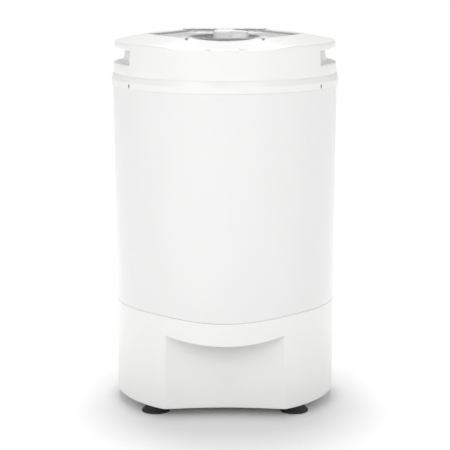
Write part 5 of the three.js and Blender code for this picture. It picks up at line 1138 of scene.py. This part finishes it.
low, high = levels("tub_seal")
seal = turned(
    "tub_seal_ring",
    [(TUB_INNER, low.z), (high.x, low.z), (high.x - SEAL_SLOPE, high.z), (TUB_INNER, high.z)],
    (7, 6, 6, 6), columns=144)
finished(smooth(seal, 60), "casing", "rubber", RUBBER, "tub_seal")


# ---------------------------------------------------------------- feet and band screws

FOOT_PROFILE = [
    (6.06, 0), (22, 0), (22, 2), (17.2, 6.6), (15, 11.8), (14.5, 14.7), (2.5, 14.7), (2.5, 6), (6.06, 6)]

for name in ("foot_front_left", "foot_front_right", "foot_rear_left", "foot_rear_right"):
    low, high = levels(name)
    centre = ((low.x + high.x) / 2, (low.y + high.y) / 2)
    foot = turned(name + "_pad", FOOT_PROFILE, (9, 5, 8, 8, 6, 9, 7, 5, 7), columns=56, centre=centre)
    finished(smooth(soften(foot, reach=1, rounds=2), 50), "casing", "rubber", RUBBER, name)


SHANK = 3.0
HEAD_RADIUS = 1.6
HEAD_SUNK = 0.6
RECESS = 0.9
RECESS_WIDTH = 0.22


def screw_head():
    """A small pan head with a cross recess, on the X axis at the origin, pointing outwards."""
    profile = [(AXIS, -SHANK), (HEAD_RADIUS, -SHANK), (HEAD_RADIUS, -0.4), (HEAD_RADIUS - 0.5, 0), (AXIS, 0)]
    head = turned("band_screws", profile, (5, 8, 5, 6, 8), 32, fine=0.1)
    for x, y in ((RECESS, RECESS_WIDTH), (RECESS_WIDTH, RECESS)):
        joined(head, block((-x, -y, -0.6), (x, y, 0.5)), "DIFFERENCE")
    head.data.transform(Matrix.Rotation(math.pi / 2, 4, "Y"))
    return head


def spread_round(piece):
    """Copies the screw to its four places round the band."""
    first, second = SCREW_ANGLES[:2]
    sizes = {
        "Radius": ("NodeSocketFloat", (BAND_RADIUS - HEAD_SUNK) * MM),
        "Level": ("NodeSocketFloat", SCREW_LEVEL * MM),
        "First": ("NodeSocketFloat", first), "Step": ("NodeSocketFloat", second - first)}
    tree = Tree("band_screws", sizes, BLACKENED)
    points = tree.node("GeometryNodeMeshLine", {"Count": len(SCREW_ANGLES)})
    index = tree.node("GeometryNodeInputIndex")
    half = tree.maths("FLOOR", tree.maths("DIVIDE", index, 2.0))
    hand = tree.maths("SUBTRACT", 1.0, tree.maths("MULTIPLY", 2.0, half))
    along = tree.maths("MULTIPLY", tree.maths("MODULO", index, 2.0), tree.size("Step"))
    angle = tree.maths("MULTIPLY", tree.maths("ADD", tree.size("First"), along), hand)
    turn = tree.maths("SUBTRACT", angle, math.pi / 2)
    place = tree.node("ShaderNodeCombineXYZ", {
        "X": tree.maths("MULTIPLY", tree.maths("COSINE", turn), tree.size("Radius")),
        "Y": tree.maths("MULTIPLY", tree.maths("SINE", turn), tree.size("Radius")), "Z": tree.size("Level")})
    laid = tree.node("GeometryNodeSetPosition", {"Geometry": points, "Position": place})
    facing = tree.node("ShaderNodeCombineXYZ", {"Z": turn})
    inputs = {"Points": laid, "Instance": tree.size("Geometry"), "Rotation": facing}
    return tree.run(piece, tree.node("GeometryNodeInstanceOnPoints", inputs))


screws = spread_round(screw_head())
finished(
    smooth(screws), "casing", "iron", BLACKENED, "band_screw_left_front", "band_screw_left_rear",
    "band_screw_right_front", "band_screw_right_rear")


# ---------------------------------------------------------------- studio

FLOOR_SIZE = 80.0
SKY_STRENGTH = 0.67

bpy.ops.mesh.primitive_plane_add(size=FLOOR_SIZE, location=(0, 0, 0))
floor = bpy.context.object
floor.name = "studio_floor"
floor.data.materials.append(pale_floor())

world = bpy.data.worlds.new("studio")
bpy.context.scene.world = world
world.use_nodes = True
sky = world.node_tree.nodes["Background"].inputs
sky["Color"].default_value = (1, 1, 1, 1)
sky["Strength"].default_value = SKY_STRENGTH


def soft_light(name, place, target, size, power):
    """A large square light that faces a target."""
    lamp = bpy.data.lights.new(name, "AREA")
    lamp.shape = "SQUARE"
    lamp.size = size
    lamp.energy = power
    holder = bpy.data.objects.new(name, lamp)
    bpy.context.scene.collection.objects.link(holder)
    holder.location = place
    holder.rotation_euler = (Vector(target) - Vector(place)).to_track_quat("-Z", "Y").to_euler()


LIT_PLACE = (0, 0, 0.2)
soft_light("key", (-1.4, -2.5, 1.6), LIT_PLACE, 1.6, 16)
soft_light("fill", (1.1, -2.6, 1.6), LIT_PLACE, 1.6, 13)
soft_light("top", (-0.1, 1.1, 2.5), LIT_PLACE, 1.3, 31)

CAMERA_PLACE = (0, -2.390, 0.728)
CAMERA_PITCH = math.radians(10.7)
FOCAL_LENGTH = 121.6
SENSOR_WIDTH = 36
lens = bpy.data.cameras.new("camera")
lens.lens = FOCAL_LENGTH
lens.sensor_width = SENSOR_WIDTH
camera = bpy.data.objects.new("camera", lens)
camera.location = CAMERA_PLACE
camera.rotation_euler = (math.pi / 2 - CAMERA_PITCH, 0, 0)
bpy.context.scene.collection.objects.link(camera)
bpy.context.scene.camera = camera
bpy.context.scene.view_settings.view_transform = "Standard"

bpy.context.view_layer.update()
